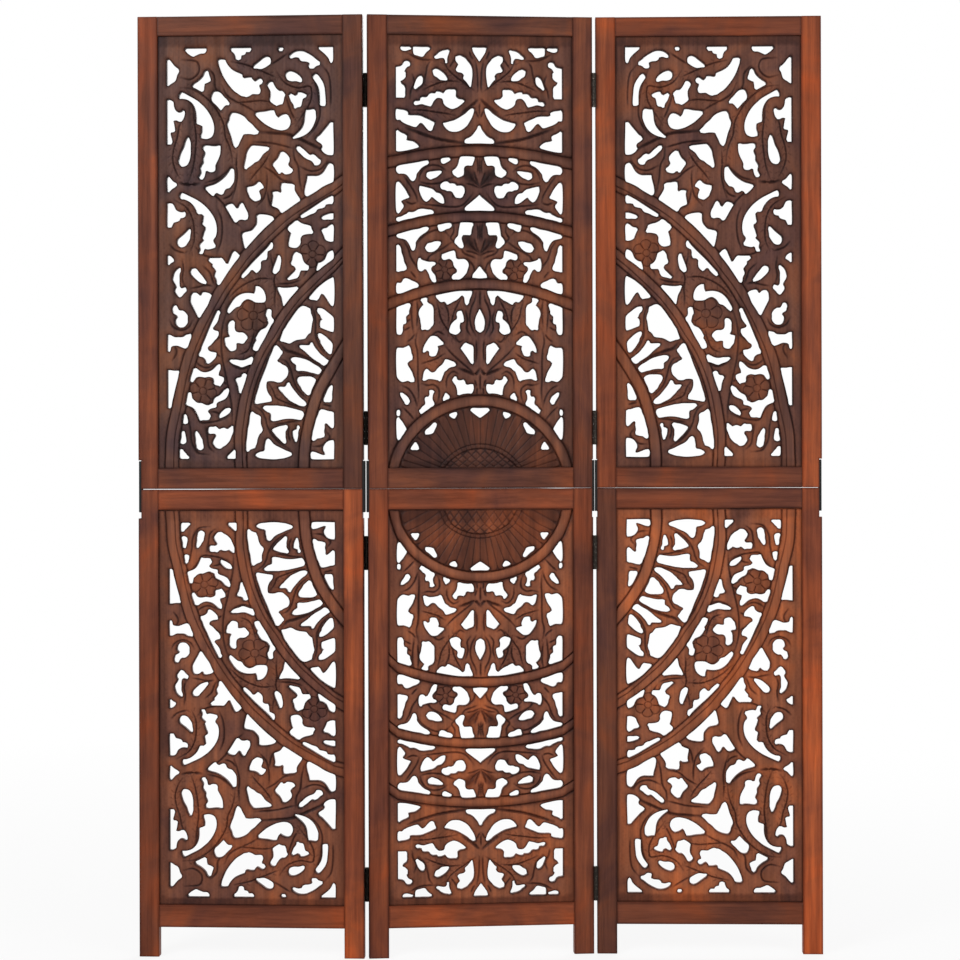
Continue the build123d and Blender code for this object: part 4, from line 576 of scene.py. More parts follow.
CENTRE_OPENINGS = """
8,723 9,724 16,724 24,724 26,723 27,721 26,719 23,718 17,716 13,716 9,718 8,720
30,723 31,724 45,724 56,724 59,723 60,721 58,718 54,715 50,710 48,707 46,706 44,706 40,707 37,708
  33,709 31,711 30,715 30,720
93,719 94,718 93,714 91,709 90,704 90,700 90,696 88,695 86,696 86,700 85,702 83,704 77,704 73,703
  69,703 67,705 68,708 72,711 76,715 82,718 87,719 91,720
105,708 108,709 112,710 117,708 122,705 126,700 130,695 133,689 134,682 134,674 133,665 132,658 131,654
  129,654 128,656 125,660 122,664 118,668 118,671 119,674 117,677 113,679 108,680 105,683 105,685 107,689
  109,693 108,695 105,699 104,704
64,683 67,685 70,686 74,685 79,682 84,678 88,673 90,669 90,666 88,665 83,665 77,666 72,670 67,673
  65,677
39,671 42,673 45,673 47,670 47,665 46,660 43,656 39,653 34,649 32,650 31,652 32,656 34,662 36,667
0,688 3,689 8,690 12,693 14,697 17,699 21,699 24,697 25,694 24,690 20,688 17,685 15,681 17,679 17,675
  17,671 13,666 8,663 10,659 14,656 16,652 16,644 16,638 14,634 9,634 3,634 0,634
31,624 32,627 34,629 39,629 42,630 43,634 46,636 53,636 56,638 58,641 62,643 65,643 69,643 71,646
  75,646 79,645 83,643 85,645 87,648 92,650 98,650 103,650 105,648 105,641 105,638 109,634 113,633
  118,632 120,630 119,628 115,624 110,620 105,617 98,615 92,617 87,620 83,625 82,630 80,633 76,634 72,634
  68,631 65,627 62,621 60,619 56,620 52,621 45,623 39,622 35,621 32,622
0,613 2,615 7,614 14,613 19,611 21,609 21,605 25,604 34,604 43,603 50,600 57,597 63,594 67,592 67,589
  65,584 63,578 60,576 57,577 52,582 47,588 44,590 42,590 38,586 35,583 31,583 25,585 17,588 10,592 7,595
  2,595 0,597
135,617 137,615 136,609 133,601 129,594 124,586 117,580 109,576 102,575 94,576 88,580 84,585 82,589
  83,591 88,592 95,594 102,596 108,599 116,604 123,609 128,614 133,617
0,576 3,578 5,576 10,573 15,571 19,568 19,565 18,561 20,560 25,559 30,558 36,554 39,551 40,549 38,547
  32,545 24,543 15,541 7,540 2,540 0,541
0,511 2,514 6,516 16,518 28,520 39,522 48,524 55,525 57,523 57,520 54,517 48,514 43,510 39,505 36,501
  35,496 33,491 30,488 28,488 25,490 23,493 20,497 16,500 9,501 4,501 1,504 0,506
78,524 79,528 81,529 87,530 93,530 95,528 95,526 93,524 88,521 84,519 81,519 79,521
112,530 114,532 136,532 138,531 137,526 135,521 134,518 132,516 124,516 120,514 119,511 119,505 118,500
  116,498 112,496 107,495 104,497 100,500 98,505 100,508 104,511 107,515 109,520 110,525
53,499 54,503 58,505 65,506 73,507 78,507 80,506 79,503 75,499 70,495 65,493 60,491 56,493 53,496
0,484 2,487 5,487 9,483 13,478 17,472 20,466 23,461 22,459 17,457 12,455 9,453 10,450 12,448 13,444
  11,440 8,436 5,432 3,431 1,433 0,435
41,480 43,480 48,479 56,477 63,475 67,472 70,469 74,468 77,467 80,464 83,459 84,453 84,450 82,449
  77,450 72,453 67,457 63,460 61,460 59,457 56,454 53,452 50,453 47,456 44,461 42,466 40,473
77,479 78,483 81,486 85,488 90,488 94,485 99,485 103,484 106,481 110,481 115,481 119,478 120,474
  120,470 118,465 116,461 113,459 108,459 104,460 101,464 98,469 94,471 89,471 85,473 80,474 78,476
0,419 0,423 3,425 8,426 14,429 18,431 22,434 29,434 34,436 39,439 46,440 55,439 62,438 65,436 66,434
  64,431 58,430 49,428 39,426 28,423 18,421 10,419 4,417 1,418
72,409 73,412 79,413 88,415 95,415 97,413 97,410 93,406 87,404 82,401 77,400 74,402 73,406
0,392 2,395 8,397 18,400 29,403 40,405 49,408 55,408 57,406 56,403 52,399 46,395 40,390 37,386 34,381
  34,376 33,371 31,367 29,366 27,367 25,371 23,376 20,381 16,385 10,387 5,388 1,390
112,415 113,416 133,416 135,415 135,411 134,410 132,403 131,396 129,394 123,394 117,394 115,391 115,386
  117,380 118,374 116,371 112,371 109,373 105,377 102,380 102,384 104,388 108,393 109,400 110,406
50,371 52,375 55,379 62,381 68,383 75,383 78,382 78,379 75,374 72,370 67,366 62,364 56,364 53,366
0,375 3,377 5,376 8,371 9,364 12,355 14,346 17,340 18,335 17,333 13,331 7,330 3,329 0,330
38,350 39,353 42,354 44,351 49,349 57,347 65,347 68,346 69,344 67,341 63,339 61,335 62,331 65,327
  68,323 69,318 70,313 68,311 64,311 62,313 59,318 57,324 54,330 52,333 49,334 46,331 43,330 40,331
  38,334 37,340 37,346
79,355 80,360 85,362 90,364 96,366 101,367 103,365 104,359 105,354 108,352 114,352 119,352 123,350
  126,346 127,341 125,334 123,328 119,323 115,319 110,316 104,316 99,316 97,318 97,321 100,325 104,327
  106,330 105,334 102,337 100,341 99,346 96,350 92,352 88,351 84,350 81,351
0,307 2,310 8,310 10,312 12,316 16,318 21,317 27,314 34,311 38,308 39,305 37,302 30,300 20,296 10,292
  5,291 2,291 0,293
69,285 69,288 73,289 82,291 92,293 103,295 114,296 124,296 131,296 133,295 132,290 130,285 128,280
  127,275 124,271 122,271 120,274 119,280 118,285 115,288 113,287 110,284 105,280 99,277 94,274 90,272
  88,272 85,276 83,277 79,276 76,277 73,280
0,266 3,268 8,270 14,272 19,274 23,274 25,271 24,267 22,260 22,256 19,253 17,251 17,245 17,240 15,238
  12,237 11,232 11,226 9,221 7,219 3,219 1,220 0,224
42,279 44,282 47,283 51,284 54,283 54,280 54,277 57,274 61,272 64,268 65,262 65,254 65,246 65,240
  64,236 61,233 58,229 54,227 50,228 45,227 43,229 43,234 42,240 41,247 39,253 39,259 41,264 44,268
  47,271 45,275
106,258 108,260 111,261 114,261 115,259 117,253 118,247 118,243 116,241 112,240 111,236 111,231 112,226
  109,222 106,220 103,219 99,220 94,222 92,225 93,230 95,236 98,240 102,244 105,246 106,250 105,254
46,192 47,196 49,201 52,206 56,212 60,216 65,217 70,216 75,212 79,208 82,205 82,202 79,201 75,200
  72,199 73,194 72,190 70,185 68,182 64,181 60,181 57,183 57,187 56,190 53,191 49,188 46,188
112,195 115,199 118,203 122,205 126,203 131,201 134,199 135,195 135,185 135,176 135,170 133,167 130,169
  126,175 122,181 117,188
0,193 2,196 6,196 12,196 17,198 21,200 23,198 25,193 26,187 28,181 28,178 27,175 23,173 19,169 20,165
  23,160 27,153 29,147 31,141 31,137 29,136 24,136 20,138 15,137 10,136 6,138 4,140 1,144 0,148
45,140 46,145 47,151 49,156 52,159 55,158 58,155 61,153 65,153 68,155 71,159 75,163 79,166 82,170
  84,174 86,176 91,175 96,173 101,171 104,167 104,165 100,163 95,162 91,160 88,157 84,154 82,149 80,144
  78,139 75,137 72,139 68,140 62,141 55,141 51,139 47,138
97,139 99,143 102,146 105,145 106,141 109,139 113,139 117,140 120,137 121,133 124,131 129,132 134,132
  135,129 135,123 133,118 131,116 124,116 116,115 109,113 106,114 106,118 105,124 103,130 100,134
6,115 6,117 10,117 13,115 17,112 20,109 22,105 23,102 21,98 19,96 15,97 13,101 10,106 7,111
57,119 57,121 61,122 64,121 66,119 64,115 63,111 63,105 65,101 66,97 64,94 60,92 55,88 49,84 45,81
  42,80 40,83 39,86 42,89 45,93 49,96 50,100 49,104 49,107 51,110 55,110 57,113
83,112 84,115 86,117 89,115 92,112 93,110 92,107 87,105 83,103 81,103 81,108
0,85 2,87 5,87 6,84 6,80 5,77 2,76 0,78
0,72 2,74 4,74 6,71 10,66 13,61 16,56 17,53 15,50 12,45 9,41 6,36 3,34 1,36 0,40
92,79 95,81 98,82 102,83 105,83 106,80 104,75 102,72 99,72 95,74 92,77
49,48 51,52 56,56 60,60 64,64 67,65 70,63 70,60 68,55 66,51 64,47 60,45 54,44 50,44
24,19 26,23 29,27 31,30 34,30 36,27 38,23 39,19 37,17 31,17 26,17
"""
AXIS_OPENINGS = """
146,724 135,724 133,723 134,720 135,716 139,709 143,703 145,700 146,699
146,587 144,586 142,581 138,575 133,569 127,565 124,564 120,560 120,556 122,555 146,555
146,465 145,464 142,461 136,456 129,450 123,445 120,441 120,438 122,437 146,437
146,339 145,339 142,335 138,330 134,325 133,321 133,319 146,318
146,264 145,263 143,259 140,253 138,247 137,240 138,233 139,228 142,225 145,223 146,223
146,90 132,90 130,89 129,86 132,83 137,79 141,76 144,74 146,73
"""


def points_of(text):
    """Reads the points of one line of text, each written as u,v."""
    return [tuple(float(number) for number in pair.split(",")) for pair in text.split()]


def outlines(text):
    """Reads the openings of a drawing."""
    return [points_of(line) for line in text.strip().replace("\n  ", " ").split("\n")]


def drawing(kind):
    """All openings of the side or the centre drawing, with the drawing's width and height."""
    openings = outlines(SIDE_OPENINGS)
    width = max(u for outline in openings for u, v in outline)
    if kind == "centre":
        half = outlines(CENTRE_OPENINGS)
        on_axis = outlines(AXIS_OPENINGS)
        width = 2 * max(u for outline in on_axis for u, v in outline)
        mirrored = [[(width - u, v) for u, v in outline][::-1] for outline in half]
        openings = half + mirrored + [o + [(width - u, v) for u, v in o[-2:0:-1]] for o in on_axis]
    return openings, width, max(v for outline in openings for u, v in outline)


for kind in ("side", "centre"):
    openings, width, height = drawing(kind)
    print(kind, "drawing:", len(openings), "openings on", width, "x", height, "mm")

# %% [markdown]
# A fret saw follows a flowing line, so each outline becomes a smooth curve through its points. Where
# the line turns sharply, as at a leaf's tip, the curve stops and starts again, which keeps the corner.

# %% Curves through the points
SAW_STEP = 1.7
SHARP_TURN = 52.0


def between(p, q, start, end, t):
    """The point that shares p and q as t divides the span from start to end."""
    return ((end - t) * p + (t - start) * q) / (end - start)


def curve_point(four, knots, t):
    """A point between the middle two of four, on the smooth curve through them."""
    first = [between(four[j], four[j + 1], knots[j], knots[j + 1], t) for j in range(3)]
    second = [between(first[j], first[j + 1], knots[j], knots[j + 2], t) for j in range(2)]
    return between(second[0], second[1], knots[1], knots[2], t)


def smooth_line(points, closed, step):
    """A smooth line through points, with its sharp corners kept."""
    points = np.array(points, dtype=float)
    count = len(points)
    sharp = np.zeros(count, dtype=bool)
    if closed:
        ahead = np.roll(points, -1, axis=0) - points
        behind = np.roll(ahead, 1, axis=0)
        cross = behind[:, 0] * ahead[:, 1] - behind[:, 1] * ahead[:, 0]
        sharp = np.degrees(np.abs(np.arctan2(cross, (behind * ahead).sum(axis=1)))) > SHARP_TURN
    else:
        sharp[0] = sharp[-1] = True
    line = []
    for i in range(count if closed else count - 1):
        a, b = points[i], points[(i + 1) % count]
        before = 2 * a - b if sharp[i] else points[i - 1]
        after = 2 * b - a if sharp[(i + 1) % count] else points[(i + 2) % count]
        spans = [math.sqrt(math.dist(*pair)) for pair in ((before, a), (a, b), (b, after))]
        knots = np.cumsum([0.0] + spans)
        samples = max(1, round(math.dist(a, b) / step))
        line += [curve_point((before, a, b, after), knots, knots[1] + (knots[2] - knots[1]) * k / samples)
                 for k in range(samples)]
    if not closed:
        line.append(points[-1])
    return np.array(line)

# %% [markdown]
# The gouge work is a second drawing: every line is one cut, as its points in the same millimetres. A
# letter says what kind: v is a plain V cut, s a strong one, and f a leaf's midrib, which gets short side
# veins in pairs. Cuts fade at both ends, because the gouge enters and leaves the wood on a slope.

# %% The cuts
SIDE_CUTS = """
f 24,653 43,651 65,638 80,623 91,606 99,588 102,566 109,549 113,532 115,514
v 122,540 121,516 122,495 118,473 113,456
v 96,658 104,640 117,630 135,621 150,612 157,606
f 117,626 139,627 165,629 183,626
s 160,574 187,572 209,570 222,566 240,557 262,546 275,537
v 150,557 185,554 205,549 222,544
f 40,630 46,615 47,601 49,584 51,562 49,538 46,516 41,497 37,487
f 30,602 22,587 18,566 12,546 10,526 16,505 24,492
s 22,486 37,483 56,484
v 63,477 87,460 102,443 117,419 129,407
v 88,440 94,424 96,408 94,384 87,362
f 13,456 33,443 43,426 47,402 46,380 39,362
v 67,486 87,492 104,505 114,515
v 96,457 109,462 117,473
f 180,538 172,524 165,514 152,499 143,486
v 167,514 185,503 200,490 217,486
v 174,505 174,484 170,462 156,442
v 174,473 180,447 191,437
v 220,548 222,527 228,514 231,488 235,467
v 230,514 250,505 267,508 281,524
v 250,680 261,651 266,618 266,601 258,581 243,563
v 270,690 281,675 285,647 285,616
f 191,680 206,660 228,651 249,653 252,637 246,618 235,601 224,584
v 206,642 213,618 220,601 226,592
f 113,698 139,692 174,677 191,669
v 182,692 194,700 210,711
v 26,702 53,698 56,681 42,668 24,671
v 72,687 82,675 85,652 96,637
v 4,378 14,368 33,362
v 26,352 28,335 26,318 30,304
v 62,340 74,328 79,314 83,306
v 40,300 55,303 68,306 80,304
v 4,246 9,234 24,227 37,232 44,244
v 50,372 62,360 72,356 92,352
v 8,205 16,190 8,172
f 180,364 182,346 188,326 186,313 188,298 187,279 188,262
f 186,315 163,317 141,310 122,298 107,282
v 191,307 217,309 232,314
v 236,372 242,330 236,318
v 113,60 112,90 107,120 101,150 96,175 94,200 95,225 100,248 110,268
v 94,215 85,210 77,203
v 84,186 92,180
v 48,173 58,164 70,161 84,168
v 33,97 44,87 52,76 58,65 74,65 92,69 108,76
v 76,84 86,82 94,77
v 36,74 40,50 42,30 52,12 72,8
v 66,58 69,40 72,22 82,12
f 152,226 147,206 139,190 124,183
v 112,166 124,160 136,160 148,168
v 88,146 96,138 104,130
s 196,203 207,191 222,186 241,178 262,165 276,158
v 195,175 206,172 214,158 218,143 224,126 236,112 246,104
f 176,133 184,120 189,108 202,101 226,92 242,88
v 152,93 164,84 170,72 173,60 180,45 193,30 213,17
v 226,151 241,149 262,145
v 252,267 257,250 258,232 258,215 266,195 279,179
v 186,61 202,63 218,66 232,66
v 212,56 210,44 214,30
v 275,50 282,38 268,24 252,22
v 270,96 286,92
v 240,268 251,262
"""
CENTRE_CUTS = """
s 17,581 47,570 73,562 104,557 121,555
f 25,612 47,612 69,609 91,606 104,603
s 144,632 130,619 114,607
v 146,625 146,604
v 139,612 144,600
f 137,647 120,660 105,671 92,683 84,698
f 112,662 95,664 78,661 60,654 46,647
v 62,700 55,690 52,675 48,660 36,645
v 92,686 99,696 105,706
v 28,676 32,660 26,646 24,632
v 20,712 40,702 66,700
v 139,700 142,680 143,660 143,645
v 128,716 134,702
v 141,531 143,514 142,502
v 146,531 146,500
v 146,478 140,492 136,506
v 146,478 135,490 127,500
v 146,476 132,482 122,484
v 104,497 92,492 80,486 58,483 39,487
v 39,487 42,500 50,511 62,516 76,514 87,506
v 12,498 23,482 34,463 38,450
v 42,448 70,445 104,443 117,447 127,457 134,468
v 16,452 26,448 36,450
v 96,482 100,470 98,458
v 58,466 66,458 74,452
v 141,414 143,398 142,386
v 146,414 146,384
v 146,360 140,374 136,389
v 146,360 134,372 126,382
v 146,358 132,364 120,366
v 100,413 100,398 95,388 104,379 116,374
v 34,374 41,385 54,396 69,402 84,400 92,392
v 100,384 84,372 70,364 58,356 52,344 50,334
v 12,384 20,370 26,352 34,340 40,330
v 34,318 24,330
v 124,352 134,340 138,322
v 112,374 118,362 132,356 140,352
v 59,318 66,330
v 37,229 33,206 36,190 37,170 37,142 38,118 37,96
v 28,284 26,262 27,240 29,222
v 35,280 37,262 36,244 35,232
f 70,277 74,262 77,248 86,232 96,219 104,207
v 84,272 89,262 91,250 90,236
f 114,284 105,268 99,253 96,240 92,226
v 84,200 95,187 110,173 125,160 138,148
v 146,296 146,268
v 139,293 137,280 131,266 128,250 131,232 139,216
v 120,262 124,246 123,228 130,216
v 139,210 140,190 139,172
s 146,160 138,150 124,154 108,160
v 136,140 140,128
v 146,150 146,120
v 141,126 140,114
v 87,124 87,137 91,148 99,154 108,150
f 43,168 56,172 70,177 84,186
v 43,133 54,130 64,131 73,124 74,112 70,98
v 24,260 16,252
v 24,246 15,238
v 24,232 13,226
v 18,206 26,212 32,220
v 8,130 20,124 30,110 36,92
v 10,92 22,80 30,70
v 110,232 102,218 110,206 118,210
v 60,216 72,224 84,218
"""

# Half width and depth of every kind of cut, and how far apart the points of a cut lie.
CUT_KINDS = {"v": (2.8, 1.9), "s": (4.0, 2.7), "f": (2.7, 2.0), "side": (1.9, 0.6)}
CUT_STEP = 1.5
VEIN_SPACING = 8
VEIN_REACH = (1.8, 3.4, 5.0, 6.6, 8.2)


def side_veins(line):
    """Short cuts that leave a midrib in pairs and lean towards its tip."""
    veins = []
    for k in range(5, len(line) - 3, VEIN_SPACING):
        along = line[k + 1] - line[k - 1]
        along = along / np.hypot(*along)
        across = np.array([-along[1], along[0]])
        for side in (-1, 1):
            lean = along + across * side
            veins.append(np.array([line[k] + lean * reach for reach in VEIN_REACH]))
    return veins


def cuts_of(kind):
    """Every cut of a drawing as (line, half width, depth), mirrored where the drawing is."""
    width = drawing(kind)[1]
    cuts = []
    for text in (SIDE_CUTS if kind == "side" else CENTRE_CUTS).strip().split("\n"):
        letter, points = text[0], points_of(text[2:])
        both = [points] if kind == "side" else [points, [(width - u, v) for u, v in points]]
        if kind == "centre" and all(u == width / 2 for u, v in points):
            both = both[:1]
        for one in both:
            line = smooth_line(one, False, CUT_STEP)
            cuts.append((line, *CUT_KINDS[letter]))
            if letter == "f":
                cuts += [(vein, *CUT_KINDS["side"]) for vein in side_veins(line)]
    return cuts


print("cuts:", len(cuts_of("side")), "and", len(cuts_of("centre")))

# %% [markdown]
# Carving is worked out as a depth below the face of the board, in millimetres, for any point of the
# drawing. Every kind of work has its own small rule: the face rolls over towards each opening, the rings
# stand up as rounded bars with a gouged line along each side, flowers are cushions of petals round a
# button, and the sun at the middle joint has narrow petals round a cross-hatched half disc. The rings of
# the centre board are circles round a point below it. Those of the side board are given by their middle
# line, because the hand that drew them was freer.

# %% Rules of the carving
ROLL_WIDTH = 3.6
ROLL_DEPTH = 2.3
GROUND = 1.0
SUN = (146.0, -55.0)
SUN_DISC = 74.0
SUN_PETALS = (82.0, 146.0)
PETAL_ANGLE = 6.2
HATCH = 11.0
CUSHIONS = (380, 498)
CUSHION_OFF = 18
RING_STEP = 6.0
RING_SPLIT = 0.3
RING_SHOULDER = 2.3
SPLIT_SHOULDER = 1.9
CENTRE_RINGS = [(158, 9.6), (363, 9.2), (481, 9.2), (596, 9.6)]
SIDE_RINGS = [
    ("double", 12.0, "3,-40 5,-18 7,0 9,40 19,88 29,140 41,183 55,218 69,248 88,283 102,306 118,327 "
                     "140,357 153,371 203,419 226,436 266,460 306,482 345,501"),
    ("double", 10.6, "127,-40 127,-18 127,13 127,44 131,75 138,113 150,152 167,190 186,220 200,244 "
                     "217,268 229,283 246,300 277,330 306,355 345,386"),
    ("single", 9.6, "237,-40 237,-18 238,10 240,31 250,79 261,114 280,150 306,190 345,242"),
]
FLOWER_BUTTON = 0.27
FLOWERS = {
    "side": [(62, 120, 24, 0.3), (150, 252, 28, 0.1), (253, 359, 23, 0.6)],
    "centre": [(84, 333, 19, 0.3), (208, 333, 19, -0.3)],
}


def distance_to_path(points, path):
    """Distance from points to an open line, with a sign that tells its two sides apart."""
    nearest = np.full(len(points), 1e9)
    signed = np.zeros(len(points))
    for a, b in zip(path[:-1], path[1:]):
        along = b - a
        length = np.hypot(*along)
        offset = points - a
        t = np.clip(offset @ along / length ** 2, 0, 1)
        gap = np.hypot(*(offset - t[:, None] * along).T)
        closer = gap < nearest
        nearest = np.where(closer, gap, nearest)
        sign = np.sign(along[0] * offset[:, 1] - along[1] * offset[:, 0])
        signed = np.where(closer, gap * np.where(sign == 0, 1, sign), signed)
    return signed


def gouge(off_line, half_width, depth):
    """A V cut at a distance from its line."""
    return depth * np.clip(1 - np.abs(off_line) / half_width, 0, 1)


def ring_depth(off, half_width, double):
    """Depth of a ring's bars, measured from its middle line."""
    across = np.abs(off) / half_width
    if not double:
        bars = 1.7 * np.clip(across, 0, 1) ** 2.2
    else:
        split = RING_SPLIT * half_width
        wide = np.abs(off - 0.65 * split) / (half_width - 0.45 * split)
        bars = np.where(off > -split, 1.4 * np.clip(wide, 0, 1) ** 2.2,
                        0.7 + 0.5 * np.clip((-off - split) / (half_width - split), 0, 1) ** 2)
        bars = bars + gouge(off + split, SPLIT_SHOULDER, 1.6)
    return bars


def sun_arc(radius, step):
    """A half circle round the sun's middle, from left to right, so that its outside is its left side."""
    angles = np.arange(math.pi, 0, -step / radius)
    return np.array(SUN) + radius * np.stack([np.cos(angles), np.sin(angles)], axis=1)


def ring_lines(kind):
    """The rings of a drawing as (kind of bars, half width, middle line)."""
    if kind == "centre":
        return [("single", half, sun_arc(radius, RING_STEP)) for radius, half in CENTRE_RINGS]
    return [(bars, half, smooth_line(points_of(text), False, RING_STEP)) for bars, half, text in SIDE_RINGS]


def flower_edge(radius, angle):
    """How far a six-petalled flower reaches at an angle."""
    return radius * (0.76 + 0.24 * np.abs(np.cos(3 * angle)) ** 0.6)


def flower(points, u, v, radius, turn):
    """Depth of a six-petalled flower, and where it is."""
    x, y = points[:, 0] - u, points[:, 1] - v
    reach, angle = np.hypot(x, y), np.arctan2(y, x) + turn
    lobe = np.abs(np.cos(3 * angle))
    edge = flower_edge(radius, angle)
    out = np.clip(reach / edge, 0, 1)
    petal = 0.15 + 0.55 * np.sin(np.pi * np.clip((out - 0.3) / 0.62, 0, 1)) + 1.1 * out ** 7
    petal = petal + 1.7 * np.clip(1 - lobe * reach / 5.5, 0, 1) * np.clip(out * 3 - 0.8, 0, 1)
    button = FLOWER_BUTTON * radius
    dome = 0.7 * (1 - np.sqrt(np.clip(1 - (reach / button) ** 2, 0, 1)))
    depth = np.where(reach < button, dome, petal) + gouge(reach - button, 1.5, 1.2)
    return depth, reach < edge, gouge(reach - edge, 1.8, 1.5)


def sun(points):
    """Depth of the half sun, and where it is."""
    x, y = points[:, 0] - SUN[0], points[:, 1] - SUN[1]
    reach, angle = np.hypot(x, y), np.degrees(np.arctan2(y, x)) - 90
    inner, outer = SUN_PETALS
    beside = np.abs((angle / PETAL_ANGLE) % 1 - 0.5) * PETAL_ANGLE
    valley = (PETAL_ANGLE / 2 - beside) * np.radians(1) * reach
    tip = outer - 7 * (2 * beside / PETAL_ANGLE) ** 2
    depth = 0.4 + 1.2 * (beside / PETAL_ANGLE) ** 2 + gouge(valley, 2.0, 0.9)
    depth = depth + 0.9 * np.clip((reach - tip + 2) / 4, 0, 1)
    hatch = np.zeros(len(points))
    for slant in (-1, 1):
        line = (x + slant * y) / math.sqrt(2) / HATCH % 1
        off = np.minimum(line, 1 - line) * HATCH
        hatch = np.maximum(hatch, gouge(off, 2.2, 1.5))
    disc = 0.25 + hatch + 0.8 * np.clip(reach / SUN_DISC, 0, 1) ** 8
    depth = np.where(reach < SUN_DISC, disc, depth)
    depth = depth + gouge(reach - SUN_DISC, 2.0, 1.8) + gouge(reach - inner, 1.8, 1.3)
    return depth, reach < outer + 2

# %% [markdown]
# A board's face is too finely pierced to be modelled by hand one face at a time. It is made as a net
# of triangles instead: the outlines and the lines of the cuts are laid down first, an even grid of
# points fills the wood between them, and the triangles that fall in an opening are dropped. Walking
# from the rim over triangles that are not parted by an outline finds the wood. The wall of each
# opening joins the face to the flat back.

# %% The net of a board
GRID = 2.6
FINE_GRID = 1.4
HALF_OPENING = 163.25
UPPER_OPENING = (857.0, 1616.0)
LOWER_OPENING = (91.0, 784.5)
MARGIN = 18.0
CLEARANCE = 0.3
FACE = -6.0
TONGUE = 4.0
TONGUE_REACH = 5.7
# The least distances between points of the net: along lines, from lines to the grid, and from the grid
# to the rim and to the outlines.
LINE_GAP = 0.95
GRID_GAP = 0.9
RIM_GAP = 0.6
OUTLINE_GAP = 0.75


def tree_of(points):
    """A search tree of flat points."""
    tree = KDTree(len(points))
    for number, (u, v) in enumerate(points):
        tree.insert((u, v, 0), number)
    tree.balance()
    return tree


def nearest_distance(points, lines):
    """Distance from each point to the nearest point of several lines."""
    tree = tree_of(np.vstack(lines))
    return np.array([tree.find((u, v, 0))[2] for u, v in points])


def thinned(points, gap):
    """Leaves out every point that falls in the same small square as an earlier one or close beside it."""
    taken, kept = set(), []
    for u, v in points:
        cell = (int(u // gap), int(v // gap))
        if cell not in taken:
            kept.append((u, v))
            taken.add(cell)
    kept = np.array(kept)
    tree = tree_of(kept)
    dropped = set()
    for number, (u, v) in enumerate(kept):
        if number not in dropped:
            near = tree.find_range((u, v, 0), 0.6 * gap)
            dropped |= {other for spot, other, far in near if other > number}
    return np.array([spot for number, spot in enumerate(kept) if number not in dropped])


def line_beside(path, off):
    """A line at a signed distance beside a path, with even points."""
    along = np.gradient(path, axis=0)
    across = np.stack([-along[:, 1], along[:, 0]], axis=1) / np.hypot(*along.T)[:, None]
    beside = path + off * across
    reach = np.concatenate([[0.0], np.cumsum(np.hypot(*np.diff(beside, axis=0).T))])
    spots = np.arange(0.0, reach[-1], CUT_STEP)
    return np.stack([np.interp(spots, reach, beside[:, axis]) for axis in (0, 1)], axis=1)


def flower_lines(u, v, radius, turn):
    """The lines of a flower: its outline, its button and the valleys between its petals."""
    middle = np.array([u, v])
    around = np.arange(0, 2 * math.pi, CUT_STEP / radius)
    rays = np.stack([np.cos(around), np.sin(around)], axis=1)
    edge = flower_edge(radius, around + turn)
    button = FLOWER_BUTTON * radius
    lines = [middle + (edge + 0.4)[:, None] * rays, middle + button * rays[::3]]
    for k in range(6):
        angle = math.radians(30 + 60 * k) - turn
        reach = np.arange(button + CUT_STEP, 0.75 * radius, CUT_STEP)[:, None]
        valley = middle + reach * np.array([[math.cos(angle), math.sin(angle)]])
        lines += [valley, line_beside(valley, 1.8), line_beside(valley, -1.8)]
    return lines


def inside_lines(points, lines):
    """True for points inside an odd number of closed lines, row by row."""
    starts = np.vstack(lines)
    ends = np.vstack([np.roll(line, -1, axis=0) for line in lines])
    result = np.zeros(len(points), dtype=bool)
    for height in np.unique(points[:, 1]):
        row = points[:, 1] == height
        crosses = (starts[:, 1] > height) != (ends[:, 1] > height)
        a, b = starts[crosses], ends[crosses]
        hits = np.sort(a[:, 0] + (height - a[:, 1]) / (b[:, 1] - a[:, 1]) * (b[:, 0] - a[:, 0]))
        result[row] = np.searchsorted(hits, points[row, 0]) % 2 == 1
    return result


def rim_line(margin_u, margin_v, width, height, step):
    """The rectangle round a drawing, at a margin, with even points."""
    corners = [(-margin_u, -margin_v), (width + margin_u, -margin_v),
               (width + margin_u, height + margin_v), (-margin_u, height + margin_v)]
    line = []
    for a, b in zip(corners, corners[1:] + corners[:1]):
        count = round(math.dist(a, b) / step)
        line += [(a[0] + (b[0] - a[0]) * k / count, a[1] + (b[1] - a[1]) * k / count) for k in range(count)]
    return np.array(line)


def flat_net(loops, extra):
    """Triangles of the wood between closed loops, the first of which is the rim, with extra points."""
    points = np.vstack(loops + [extra])
    edges, start = [], 0
    for loop in loops:
        count = len(loop)
        edges += [(start + k, start + (k + 1) % count) for k in range(count)]
        start += count
    result = delaunay_2d_cdt([Vector(p) for p in points], edges, [], 0, 1e-5)
    if len(result[0]) != len(points):
        print("  outlines meet:", len(result[0]), "points from", len(points))
    new_of = {}
    for new, olds in enumerate(result[3]):
        for old in olds:
            new_of[old] = new
    walls = {frozenset((new_of[a], new_of[b])) for a, b in edges}
    beside = {}
    for number, face in enumerate(result[2]):
        for a, b in zip(face, face[1:] + face[:1]):
            beside.setdefault(frozenset((a, b)), []).append(number)
    rim = frozenset((new_of[0], new_of[1]))
    waiting, wood = list(beside[rim]), set(beside[rim])
    while waiting:
        face = result[2][waiting.pop()]
        for a, b in zip(face, face[1:] + face[:1]):
            edge = frozenset((a, b))
            if edge not in walls:
                for other in beside[edge]:
                    if other not in wood:
                        wood.add(other)
                        waiting.append(other)
    old_of = [olds[0] if olds else -1 for olds in result[3]]
    faces = [tuple(old_of[v] for v in result[2][number]) for number in sorted(wood)]
    return points, faces


